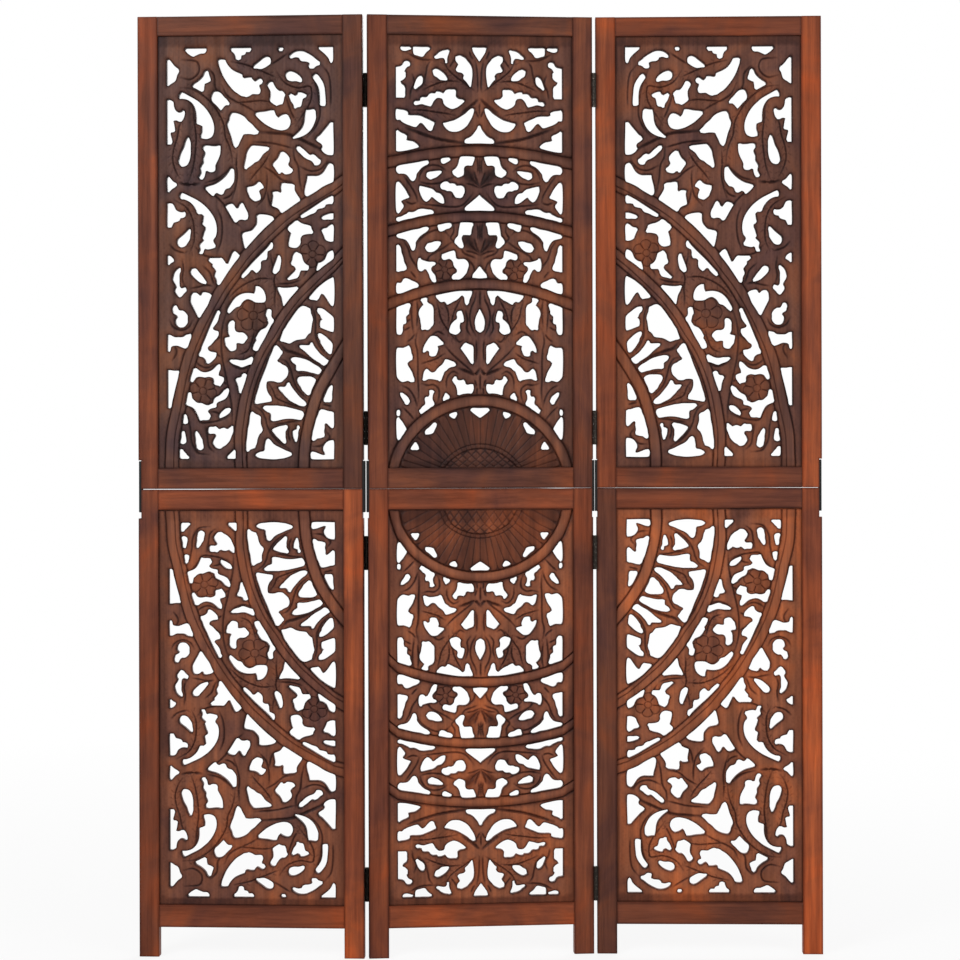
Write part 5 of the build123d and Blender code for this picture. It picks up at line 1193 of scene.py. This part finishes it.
def carved_depth(kind, points, to_opening, cuts):
    """Depth of the carving, and how dark each point is painted with gathered stain and painted shade, at
    points of a drawing.
    """
    wave = np.sin(points[:, 0] * 0.55 + 2 * np.sin(points[:, 1] * 0.21)) * np.sin(points[:, 1] * 0.47)
    depth = GROUND + 0.2 * wave
    extra_stain_and_shade = np.full(len(points), 0.1)
    if kind == "centre":
        for v in CUSHIONS:
            for side in (-1, 1):
                x, y = points[:, 0] - SUN[0] - side * CUSHION_OFF, points[:, 1] - v
                along, across = 0.6 * side * x + 0.8 * y, 0.8 * side * x - 0.6 * y
                depth = depth + 1.5 * np.clip(1 - (along / 21) ** 2 - (across / 11) ** 2, 0, 1)
        rays, inside = sun(points)
        depth = np.where(inside, rays, depth)
        disc = np.hypot(points[:, 0] - SUN[0], points[:, 1] - SUN[1]) < SUN_DISC
        extra_stain_and_shade = np.where(inside, np.where(disc, 0.45, 0.6), extra_stain_and_shade)
    for u, v, radius, turn in FLOWERS[kind]:
        petals, inside, rim = flower(points, u, v, radius, turn)
        depth = np.where(inside, petals, depth + rim)
        extra_stain_and_shade = np.where(inside, 0.3, extra_stain_and_shade)
    samples = [(u, v, half, deep * min(1.0, 0.25 + 1.1 * math.sin(math.pi * k / (len(line) - 1))))
               for line, half, deep in cuts for k, (u, v) in enumerate(line)]
    tree = tree_of([sample[:2] for sample in samples])
    found = [tree.find((u, v, 0)) for u, v in points]
    off = np.array([hit[2] for hit in found])
    half, deep = np.array([samples[hit[1]][2:] for hit in found]).T
    in_flower = np.zeros(len(points), dtype=bool)
    for u, v, radius, turn in FLOWERS[kind]:
        in_flower |= np.hypot(points[:, 0] - u, points[:, 1] - v) < 0.95 * radius
    depth = depth + np.where(in_flower, 0, deep * np.clip(1 - off / half, 0, 1))
    for bars, half_width, path in ring_lines(kind):
        off = distance_to_path(points, path)
        ring = ring_depth(off, half_width, bars == "double")
        edge = np.abs(off) - half_width
        hollow, deep = (10.0, 1.2) if kind == "centre" else (5.0, 0.8)
        fall = np.clip(1 - np.abs(edge) / hollow, 0, 1) ** 2 * deep
        outside = off > 0 if kind == "centre" else np.ones(len(off), dtype=bool)
        ground = np.where((edge > 0) & outside, depth + fall, depth)
        depth = np.where(edge < 0, ring, ground) + gouge(edge, 2.4, 2.0)
        # Painted shade on the outer half of each centre ring, which is darker than its inner half because of
        # how the light falls.
        outer_slope_shade = 0.45 * np.clip(off / half_width, 0, 1) if kind == "centre" else 0.0
        extra_stain_and_shade = np.where(edge < 0, 0.12 + outer_slope_shade, extra_stain_and_shade)
    roll = np.clip(to_opening / ROLL_WIDTH, 0, 1)
    rolled = ROLL_DEPTH * (1 - np.sqrt(1 - (1 - roll) ** 2))
    slope = (1 - np.clip(to_opening / 9.0, 0, 1)) ** 1.6
    rim = np.clip(1 - to_opening / 2.4, 0, 1) ** 0.8
    # Painted shade: deeper carving, the rolled rim of every opening and the slope down to it are painted
    # darker, partly as stain gathered in the cuts.
    stain = 0.9 * np.clip((depth - GROUND) / 1.6, 0, 1) + rim + 0.35 * slope + extra_stain_and_shade
    return np.clip(depth + rolled + 0.9 * slope, 0.0, 6.5), np.clip(stain, 0, 1)

# %% [markdown]
# Now the two nets are made, once each, and every board is a copy of one of them with its points moved
# to their places. The rim is stepped: a thin tongue all round sits in the grooves of the frame. When
# a copy is mirrored or turned upside down its faces would look inwards, so their order is reversed.

# %% The two carved nets
def carved_net(kind):
    """The points of one board in drawing millimetres, with their depth and stain, and its faces."""
    openings, width, height = drawing(kind)
    scale_u = width / (2 * (HALF_OPENING - MARGIN))
    scale_v = height / (UPPER_OPENING[1] - UPPER_OPENING[0] - 2 * MARGIN)
    margin_u, margin_v = (MARGIN - CLEARANCE) * scale_u, (MARGIN - CLEARANCE) * scale_v
    rim = rim_line(margin_u, margin_v, width, height, 4.0)
    lines = [smooth_line(outline, True, SAW_STEP) for outline in openings]
    cuts = cuts_of(kind)

    def even_grid(step):
        us = np.arange(-margin_u + step, width + margin_u - step / 2, step)
        vs = np.arange(-margin_v + step, height + margin_v - step / 2, step * 0.866)
        spots = np.array([(u + (step / 2 if row % 2 else 0), v) for row, v in enumerate(vs) for u in us])
        return spots[spots[:, 0] < width + margin_u - 0.5 * step]

    def in_fine_zone(spots):
        fine = np.zeros(len(spots), dtype=bool)
        if kind == "centre":
            fine |= np.hypot(spots[:, 0] - SUN[0], spots[:, 1] - SUN[1]) < SUN_PETALS[1] + 2
        for u, v, radius, turn in FLOWERS[kind]:
            fine |= np.hypot(spots[:, 0] - u, spots[:, 1] - v) < radius + 2
        return fine

    extra = []
    for bars, half_width, path in ring_lines(kind):
        grooves = [(side * half_width, RING_SHOULDER) for side in (-1, 1)]
        if bars == "double":
            grooves.append((-RING_SPLIT * half_width, SPLIT_SHOULDER))
        for off, shoulder in grooves:
            extra += [line_beside(path, off + shoulder * side) for side in (0, -1, 1)]
    for place in FLOWERS[kind]:
        extra += flower_lines(*place)
    extra += [line for line, half, deep in cuts]
    for line, half, deep in cuts:
        if len(line) > 3:
            extra += [line_beside(line, half), line_beside(line, -half)]
    if kind == "centre":
        extra += [sun_arc(radius + shoulder, CUT_STEP) for radius in (SUN_DISC, SUN_PETALS[0])
                  for shoulder in (0, -2, 2)]
        for k in range(-13, 14):
            ray = np.radians(90 + PETAL_ANGLE * k)
            reach = np.arange(SUN_PETALS[0] + 1, SUN_PETALS[1] - 2, CUT_STEP)[:, None]
            extra.append(np.array(SUN) + reach * np.array([[math.cos(ray), math.sin(ray)]]))
    extra = thinned(np.vstack(extra), LINE_GAP)
    coarse, fine = even_grid(GRID), even_grid(FINE_GRID)
    grid = np.vstack([coarse[~in_fine_zone(coarse)], fine[in_fine_zone(fine)]])
    grid = grid[nearest_distance(grid, [extra]) > GRID_GAP]
    grid = np.vstack([extra, grid])
    grid = grid[(grid[:, 0] > -margin_u + RIM_GAP) & (grid[:, 0] < width + margin_u - RIM_GAP)
                & (grid[:, 1] > -margin_v + RIM_GAP) & (grid[:, 1] < height + margin_v - RIM_GAP)]
    grid = grid[nearest_distance(grid, lines + [rim]) > OUTLINE_GAP]
    grid = grid[~inside_lines(grid, lines)]
    loops = [rim] + lines
    points, faces = flat_net(loops, grid)
    back_faces = flat_net(loops, np.empty((0, 2)))[1]
    depth, stain = carved_depth(kind, points, nearest_distance(points, lines), cuts)
    print(kind, "net:", len(points), "points,", len(faces), "faces of wood")
    return {"points": points, "faces": faces, "back_faces": back_faces, "depth": depth, "stain": stain,
            "loops": [len(loop) for loop in loops], "width": width, "height": height}


nets = {kind: carved_net(kind) for kind in ("side", "centre")}

# %% [markdown]
# Six real boards never come out alike: each was stained from its own pot, so each gets its own tone, and
# its plain margin is darker, most of all at the outer end. No carving sits quite in the middle of its
# board either, so each is moved by a few millimetres. A board is made by moving the points of its net,
# adding the wall of every opening and the stepped rim, and having all its faces turned outwards.

# %% The six boards
BOARD_TONE = {"left_upper": 0.03, "centre_upper": 0.3, "right_upper": 0.36, "left_lower": 0.57,
              "centre_lower": 0.72, "right_lower": 0.84}
# Where each carving lies in its board, in millimetres from the middle place: its left and its right edge
# to the right, and its foot and its head downwards. The plain margin takes up what they move.
CARVING_OFF = {"left_upper": (-2.2, 0.9, 2.2, 2.6), "centre_upper": (-2.2, 0.9, 3.5, 1.8),
               "right_upper": (0.0, 2.2, -0.4, -0.9), "left_lower": (-0.4, 1.8, 5.3, 4.4),
               "centre_lower": (-1.8, -0.9, 5.3, 9.0), "right_lower": (0.9, 2.2, 3.1, 1.8)}
# The walls of the openings are painted with shade: dark down to this depth below the face, lighter towards
# the back.
WALL_SHADE_DEPTH = 3.6


def fret_board(panel, half):
    """One carved board, in its place in the standing screen."""
    board_name = f"{panel}_{half}"
    net = nets["centre" if panel == "centre" else "side"]
    low, high = UPPER_OPENING if half == "upper" else LOWER_OPENING
    u = net["points"][:, 0] / net["width"] * 2 * (HALF_OPENING - MARGIN) - (HALF_OPENING - MARGIN)
    v = net["points"][:, 1] / net["height"]
    if panel == "right":
        u = -u
    if half == "lower":
        v = 1 - v
    z = low + MARGIN + v * (high - low - 2 * MARGIN)
    count, rim_count = len(u), net["loops"][0]
    edge_count = sum(net["loops"])
    to_frame = np.minimum(HALF_OPENING - np.abs(u), np.minimum(z - low, high - z))
    to_end = high - z if half == "upper" else z - low
    margin_stain = 0.18 * np.clip((MARGIN - to_frame) / 6.0, 0, 1)
    margin_stain = margin_stain + 0.25 * np.clip((20.0 - to_end) / 6.0, 0, 1)
    # Painted shade, with some gathered stain, along the frame where the board lies in the step behind the
    # frame's face.
    frame_step_shade = 0.65 * np.clip(1 - to_frame / 8.0, 0, 1)
    shade = [np.clip(np.maximum(net["stain"] + margin_stain, frame_step_shade), 0, 1)]
    left, right, foot, head = CARVING_OFF[board_name]
    share = np.clip((to_frame - CLEARANCE) / (MARGIN - CLEARANCE), 0, 1)
    u = u + share * (left + (right - left) * (u + HALF_OPENING) / (2 * HALF_OPENING))
    z = z - share * (foot + (head - foot) * (z - low) / (high - low))
    rows = [np.stack([u, FACE + net["depth"], z], axis=1)]
    rows.append(np.stack([u, np.full(count, FACE + WALL_SHADE_DEPTH), z], axis=1)[:edge_count])
    rows.append(np.stack([u, np.full(count, -FACE), z], axis=1)[:edge_count])
    # Painted shade on the walls of the openings, darker near the face than at the back.
    shade += [np.full(edge_count, 0.8), np.full(edge_count, 0.4)]
    back = count + edge_count
    faces = net["faces"] + [tuple(back + v for v in reversed(face)) for face in net["back_faces"]]
    start = rim_count
    for size in net["loops"][1:]:
        for k in range(size):
            a, b = start + k, start + (k + 1) % size
            faces.append((a, count + a, count + b, b))
            faces.append((count + a, back + a, back + b, count + b))
        start += size
    middle_z = (low + high) / 2
    reach_u = (HALF_OPENING + TONGUE_REACH) / (HALF_OPENING - CLEARANCE)
    reach_z = ((high - low) / 2 + TONGUE_REACH) / ((high - low) / 2 - CLEARANCE)
    rim_u, rim_z = u[:rim_count], z[:rim_count]
    total = sum(len(row) for row in rows)
    rings = [list(range(rim_count))]
    for depth, out in ((-TONGUE, False), (-TONGUE, True), (TONGUE, True), (TONGUE, False)):
        ring_u = rim_u * reach_u if out else rim_u
        ring_z = middle_z + (rim_z - middle_z) * reach_z if out else rim_z
        rows.append(np.stack([ring_u, np.full(rim_count, depth), ring_z], axis=1))
        # Painted shade on the tongue, which sits hidden in the groove of the frame.
        shade.append(np.full(rim_count, 0.7))
        rings.append(list(range(total, total + rim_count)))
        total += rim_count
    rings.append(list(range(back, back + rim_count)))
    for upper, lower in zip(rings, rings[1:]):
        for k in range(rim_count):
            n = (k + 1) % rim_count
            faces.append((lower[n], lower[k], upper[k], upper[n]))
    if (panel == "right") != (half == "lower"):
        faces = [face[::-1] for face in faces]
    mesh = bpy.data.meshes.new(board_name + "_carved_board")
    mesh.from_pydata(np.vstack(rows) * MM, [], faces)
    mesh.transform(PLACE[panel])
    values = np.concatenate(shade)
    give_value(mesh, "shade", values)
    give_value(mesh, "tone", np.full(len(values), BOARD_TONE[board_name]))
    mesh.validate()
    mesh.update()
    board = new_object(mesh.name, mesh)
    select_only(board)
    bpy.ops.object.mode_set(mode="EDIT")
    bpy.ops.mesh.select_mode(type="VERT")
    bpy.ops.mesh.select_all(action="SELECT")
    bpy.ops.mesh.delete_loose()
    bpy.ops.mesh.select_all(action="SELECT")
    bpy.ops.mesh.normals_make_consistent(inside=False)
    bpy.ops.object.mode_set(mode="OBJECT")
    smooth(board, 40)
    finish_piece(board, carved_wood, panel + "_panel", [board_name + "_fret_board"])
    return board


for panel in PANELS:
    for half in ("upper", "lower"):
        board = fret_board(panel, half)
        print(board.name, len(board.data.polygons), "faces")

# %% [markdown]
# Steel parts start as plain primitives, added at their real size. These helpers add one, take the
# sharpness off its edges in edit mode, join or cut one part with another, sink its screw holes, and copy
# a finished part to a new place with a mesh of its own. A mirrored copy has its normals turned outwards
# again.

# %% Helpers for steel parts
def block(name, low, high, bevel=0.0, segments=2):
    """A box between two corners in millimetres, with its edges rounded in edit mode."""
    bpy.ops.object.select_all(action="DESELECT")
    bpy.ops.mesh.primitive_cube_add(size=1, location=[(a + b) / 2 * MM for a, b in zip(low, high)],
                                    scale=[(b - a) * MM for a, b in zip(low, high)])
    thing = bpy.context.active_object
    thing.name = name
    bpy.ops.object.transform_apply(location=True, rotation=True, scale=True)
    if bevel:
        bpy.ops.object.mode_set(mode="EDIT")
        bpy.ops.mesh.select_all(action="SELECT")
        bpy.ops.mesh.bevel(offset=bevel * MM, segments=segments, affect="EDGES")
        bpy.ops.object.mode_set(mode="OBJECT")
    return thing


def turned(name, radius, low, high, top_radius=None, sides=32, axis="Z"):
    """A round bar or cone along Z, or along X where the axis says so."""
    bpy.ops.object.select_all(action="DESELECT")
    rotation = (0, math.radians(90), 0) if axis == "X" else (0, 0, 0)
    middle = ((low + high) / 2 * MM, 0, 0) if axis == "X" else (0, 0, (low + high) / 2 * MM)
    bpy.ops.mesh.primitive_cone_add(vertices=sides, radius1=radius * MM, depth=(high - low) * MM,
                                    radius2=(radius if top_radius is None else top_radius) * MM,
                                    location=middle, rotation=rotation)
    thing = bpy.context.active_object
    thing.name = name
    bpy.ops.object.transform_apply(location=True, rotation=True, scale=True)
    return thing


def combine(thing, other, how):
    """Joins another part to a part, or cuts it away, and removes the other part."""
    apply_modifier(thing, "BOOLEAN", operation=how, object=other, solver="EXACT")
    bpy.data.objects.remove(other, do_unlink=True)


def shift(thing, x, y, z):
    """Moves a part's mesh by millimetres."""
    thing.data.transform(Matrix.Translation((x * MM, y * MM, z * MM)))
    return thing


def countersink(thing, spots, low):
    """Cuts a conical screw hole at each spot, open towards +X and as deep as low is below it."""
    for spot in spots:
        hole = turned("hole", 1.5, low, 0.05, top_radius=3.05, sides=24, axis="X")
        combine(thing, shift(hole, *spot), "DIFFERENCE")


def mirror(mesh):
    """Mirrors a mesh in X and turns its normals outwards again."""
    mesh.transform(Matrix.Diagonal((-1, 1, 1, 1)))
    mesh.flip_normals()


def placed_copy(master, name, matrix, mirrored=False):
    """A copy with its own mesh, mirrored in X first if need be, and then put in place."""
    mesh = master.data.copy()
    if mirrored:
        mirror(mesh)
    mesh.transform(matrix)
    return new_object(name, mesh)

# %% [markdown]
# A countersunk screw is a cone with a slightly domed head and a cross cut into it. One is made, facing
# +X, and every row of screws is made from copies of it.

# %% A screw
SCREW_HEAD = 2.7


def make_screw():
    """One screw whose head lies in the plane X = 0 and faces +X."""
    screw = turned("screw", 1.3, -2.0, 0.0, top_radius=SCREW_HEAD, sides=24, axis="X")
    edit_selected(screw, "FACE", lambda face: face.normal.x > 0.9)
    bpy.ops.mesh.inset(thickness=0.5 * MM)
    bpy.ops.transform.translate(value=(0.22 * MM, 0, 0))
    bpy.ops.mesh.inset(thickness=0.9 * MM)
    bpy.ops.transform.translate(value=(0.14 * MM, 0, 0))
    bpy.ops.object.mode_set(mode="OBJECT")
    combine(screw, block("slot", (-0.5, -0.32, -1.6), (0.8, 0.32, 1.6)), "DIFFERENCE")
    combine(screw, block("slot", (-0.5, -1.6, -0.32), (0.8, 1.6, 0.32)), "DIFFERENCE")
    smooth(screw, 35)
    return screw


screw_master = make_screw()
print("a screw of", len(screw_master.data.polygons), "faces")


def screw_row(name, places):
    """Several screws as one part, each turned by an angle of its own."""
    mesh = bpy.data.meshes.new(name)
    net = bmesh.new()
    for number, place in enumerate(places):
        spot = Matrix.Translation([value * MM for value in place])
        one = screw_master.data.copy()
        one.transform(spot @ Matrix.Rotation(math.radians(23 + 71 * number), 4, "X"))
        net.from_mesh(one)
        bpy.data.meshes.remove(one)
    net.to_mesh(mesh)
    net.free()
    return new_object(name, mesh)

# %% [markdown]
# A butt hinge is two leaves rolled round one loose pin. Five knuckles share the pin: three belong to one
# leaf and two to the other. Each leaf is a thin plate with three countersunk holes, and its knuckles are
# short tubes that stand off the face of the frame on a neck. The two leaves are modelled once, with the
# pin along Z, and each of the sixteen is a copy, turned with its own panel.

# %% Hinge leaves
HINGE_HEIGHT = 60.0
KNUCKLES = 5
KNUCKLE_GAP = 0.1
BARREL = 4.0
BORE = 2.05
PIN = 2.0
LEAF = 1.5
LEAF_SCREWS = ((-2.5, -9.5, -21.0), (-2.5, -16.0, 0.0), (-2.5, -9.5, 21.0))


def tube(low, high):
    """A knuckle: a ring profile spun round the pin, with its outer edges rounded."""
    profile = [(BORE, low), (3.75, low), (BARREL, low + 0.25), (BARREL, high - 0.25), (3.75, high),
               (BORE, high)]
    mesh = bpy.data.meshes.new("knuckle")
    mesh.from_pydata([(x * MM, 0, z * MM) for x, z in profile], [], [tuple(range(len(profile)))])
    thing = new_object("knuckle", mesh)
    select_only(thing)
    bpy.ops.object.mode_set(mode="EDIT")
    bpy.ops.mesh.select_all(action="SELECT")
    bpy.ops.mesh.delete(type="ONLY_FACE")
    bpy.ops.mesh.select_all(action="SELECT")
    bpy.ops.mesh.spin(steps=32, angle=math.radians(360), center=(0, 0, 0), axis=(0, 0, 1))
    bpy.ops.mesh.select_all(action="SELECT")
    bpy.ops.mesh.remove_doubles(threshold=0.01 * MM)
    bpy.ops.mesh.normals_make_consistent(inside=False)
    bpy.ops.object.mode_set(mode="OBJECT")
    return thing


def make_leaf(share):
    """The leaf on the left of its pin: share 0 has the three outer knuckles, share 1 the two inner."""
    end = HINGE_HEIGHT / 2
    leaf = block("leaf", (-BARREL, -21.5, -end), (-BARREL + LEAF, -4.2, end), 0.25)
    pitch = HINGE_HEIGHT / KNUCKLES
    for k in range(share, KNUCKLES, 2):
        low = -end + k * pitch + KNUCKLE_GAP
        high = low + pitch - 2 * KNUCKLE_GAP
        neck = block("neck", (-BARREL + 0.02, -5.0, low), (-BARREL + LEAF - 0.02, -0.4, high))
        combine(leaf, neck, "UNION")
        combine(leaf, tube(low, high), "UNION")
    countersink(leaf, LEAF_SCREWS, -2.2)
    smooth(leaf, 35)
    return leaf


leaf_masters = [make_leaf(0), make_leaf(1)]
leaf_screw_master = screw_row("leaf_screws", LEAF_SCREWS)
HINGE_HEIGHTS = {"top": 1521.0, "above_middle": 927.0, "below_middle": 707.5, "bottom": 125.0}
FOLDS = {"left_fold": ((-200.75, 14.5), ("left", "centre"), 0),
         "right_fold": ((200.75, -14.5), ("centre", "right"), 1)}


def pin_spot(pin):
    """Where the pins of a fold stand, from their place in the middle panel."""
    return (PLACE["centre"] @ Vector((pin[0] * MM, pin[1] * MM, 0))).to_3d()


for fold, (pin, sides, in_front) in FOLDS.items():
    spot = pin_spot(pin)
    for position, height in HINGE_HEIGHTS.items():
        for share, panel in enumerate(sides):
            matrix = upright(spot.x, spot.y, height * MM, TURN[panel] + 180 * in_front)
            name = f"{fold}_{position}_hinge_{panel}_leaf"
            mirrored = (share == 1) != bool(in_front)
            leaf = placed_copy(leaf_masters[share], name + "_rolled", matrix, mirrored)
            finish_piece(leaf, hinge_finish, panel + "_panel", [name])
            screws = placed_copy(leaf_screw_master, name + "_screws", matrix, mirrored)
            finish_piece(screws, screw_finish, panel + "_panel")
print("16 leaves of", [len(leaf.data.polygons) for leaf in leaf_masters], "faces")

# %% [markdown]
# The loose pins are plain bars with rounded ends. They stay with the middle panel when the others swing.

# %% Hinge pins
for fold, (pin, sides, in_front) in FOLDS.items():
    spot = pin_spot(pin)
    bars = []
    for height in HINGE_HEIGHTS.values():
        bar = turned("pin", PIN, -HINGE_HEIGHT / 2, HINGE_HEIGHT / 2)
        edit_selected(bar, "FACE", lambda face: abs(face.normal.z) > 0.9)
        bpy.ops.mesh.bevel(offset=0.5 * MM, segments=3, affect="EDGES")
        bpy.ops.object.mode_set(mode="OBJECT")
        bar.data.transform(Matrix.Translation((spot.x, spot.y, height * MM)))
        bars.append(bar)
    select_only(*bars)
    bpy.ops.object.join()
    bars[0].name = fold + "_loose_pins"
    smooth(bars[0], 35)
    finish_piece(bars[0], screw_finish, "centre_panel", [fold + "_hinge_pins"])
print("8 pins")

# %% [markdown]
# Nothing but six flat steel plates ties each upper frame to the lower one. Each plate lies in a notch
# across the joint and is held by two screws above it and two below. The plates were set a little high,
# so the lower end of each notch stays open. Their screws are sunk below the face, because two plates
# nearly meet when the panels stand in one line.

# %% Mending plates
PLATE = (4.15, 18.6, 90.0)
PLATE_SCREWS = ((3.7, 0.0, -36.0), (3.7, 0.0, -18.0), (3.7, 0.0, 18.0), (3.7, 0.0, 36.0))
MID_JOINT = 820.25
PLATE_RISE = 4.5
HALF_PANEL = 198.25
OUTER_NOTCH = 5.0
INNER_NOTCH = 1.8


def make_plate():
    """A plate that stands on X = 0 and faces +X, with rounded corners and four countersunk holes."""
    plate = block("plate", (0, -PLATE[1] / 2, -PLATE[2] / 2), (PLATE[0], PLATE[1] / 2, PLATE[2] / 2))
    edit_selected(plate, "EDGE", lambda edge: abs((edge.verts[1].co - edge.verts[0].co).normalized().x) > 0.9)
    bpy.ops.mesh.bevel(offset=3.0 * MM, segments=5, affect="EDGES")
    bpy.ops.object.mode_set(mode="OBJECT")
    apply_modifier(plate, "BEVEL", width=0.35 * MM, segments=2, limit_method="ANGLE",
                   angle_limit=math.radians(50))
    countersink(plate, [(PLATE[0], y, z) for x, y, z in PLATE_SCREWS], -2.0)
    smooth(plate, 35)
    return plate


plate_master = make_plate()
plate_screw_master = screw_row("plate_screws", PLATE_SCREWS)
for panel in PANELS:
    fitted = {"plates": [], "screws": []}
    for side in (-1, 1):
        outer = (panel == "left" and side < 0) or (panel == "right" and side > 0)
        foot = HALF_PANEL - (OUTER_NOTCH if outer else INNER_NOTCH)
        spot = Matrix.Translation((foot * MM, 0, (MID_JOINT + PLATE_RISE) * MM))
        for kind, master in (("plates", plate_master), ("screws", plate_screw_master)):
            one = placed_copy(master, kind, spot)
            if side < 0:
                mirror(one.data)
            one.data.transform(PLACE[panel])
            fitted[kind].append(one)
    for kind, finish in (("plates", plate_finish), ("screws", screw_finish)):
        select_only(*fitted[kind])
        bpy.ops.object.join()
        joined = fitted[kind][0]
        joined.name = f"{panel}_mending_{kind}_fitted"
        finish_piece(joined, finish, panel + "_panel",
                     [panel + "_mending_plates"] if kind == "plates" else [])
for master in [screw_master, leaf_screw_master, plate_master, plate_screw_master] + leaf_masters:
    bpy.data.objects.remove(master, do_unlink=True)
print("6 mending plates")

# %% [markdown]
# A pale floor catches the shadow and the room behind is plain white. The floor is a wide disc whose
# own colour fades into the white of the room, so no line shows where it ends. The world is white to the
# camera and in reflections, and dimmer where it only lights the wood, and three big soft lamps do the
# rest at a level where a colour renders about as it is written.

# %% Floor, room and lamps
FLOOR_GREY = 0.86
FLOOR_DROP = 0.0005
ROOM_LIGHT = 0.36


def seen_rays(owner):
    """One for rays that show a thing or its reflection, and nought for those that only light others."""
    larger = {"operation": "MAXIMUM"}
    rays = add(owner, "LightPath")
    seen = add(owner, "Math", larger, _0=(rays, "Is Camera Ray"), _1=(rays, "Is Glossy Ray"))
    return add(owner, "Math", larger, _0=(seen, "Value"), _1=(rays, "Is Transmission Ray"))


bpy.ops.object.select_all(action="DESELECT")
bpy.ops.mesh.primitive_circle_add(vertices=96, radius=30.0, fill_type="NGON", location=(0, 0, -FLOOR_DROP))
floor = bpy.context.active_object
floor.name = "studio_floor"
material, shader = new_material("pale floor")
shader.inputs["Base Color"].default_value = (FLOOR_GREY, FLOOR_GREY, FLOOR_GREY, 1)
shader.inputs["Roughness"].default_value = 0.9
shader.inputs["Specular IOR Level"].default_value = 0.1
place = add(material, "TexCoord")
far = add(material, "VectorMath", {"operation": "LENGTH"}, _0=(place, "Object"))
fade = add(material, "MapRange", Value=(far, "Value"), From_Min=0.7, From_Max=3.0, To_Min=FLOOR_GREY,
           To_Max=1.0)
share = add(material, "Math", {"operation": "MULTIPLY"}, _0=(seen_rays(material), "Value"),
            _1=(fade, "Result"))
glow = add(material, "Emission", Color=(1, 1, 1, 1), Strength=1.0)
mixed = add(material, "MixShader", Fac=(share, "Value"), _1=(shader, "BSDF"), _2=(glow, "Emission"))
output = next(node for node in material.node_tree.nodes if node.type == "OUTPUT_MATERIAL")
wire(material.node_tree, output.inputs["Surface"], (mixed, "Shader"))
floor.data.materials.append(material)

world = bpy.data.worlds.new("white room")
bpy.context.scene.world = world
world.use_nodes = True
world.node_tree.nodes.clear()
room_light = add(world, "Background", Color=(1, 1, 1, 1), Strength=ROOM_LIGHT)
room_seen = add(world, "Background", Color=(1, 1, 1, 1), Strength=1.0)
room = add(world, "MixShader", Fac=(seen_rays(world), "Value"), _1=(room_light, "Background"),
           _2=(room_seen, "Background"))
add(world, "OutputWorld", Surface=(room, "Shader"))


def lamp(name, place, aim, size, power):
    """A square soft lamp that looks at a point."""
    data = bpy.data.lights.new(name, "AREA")
    data.size = size
    data.energy = power
    thing = new_object(name, data)
    thing.location = place
    thing.rotation_euler = (Vector(aim) - Vector(place)).to_track_quat("-Z", "Y").to_euler()


lamp("key", (-2.2, -3.0, 2.7), (0, 0, 0.9), 1.6, 80)
lamp("fill", (2.6, -3.2, 1.7), (0, 0, 0.8), 2.2, 48)
lamp("behind", (1.2, 3.2, 2.6), (0, 0, 0.9), 2.2, 80)

# %% [markdown]
# The last cell keeps the colours plain.

# %% Finish
bpy.context.scene.view_settings.view_transform = "Standard"
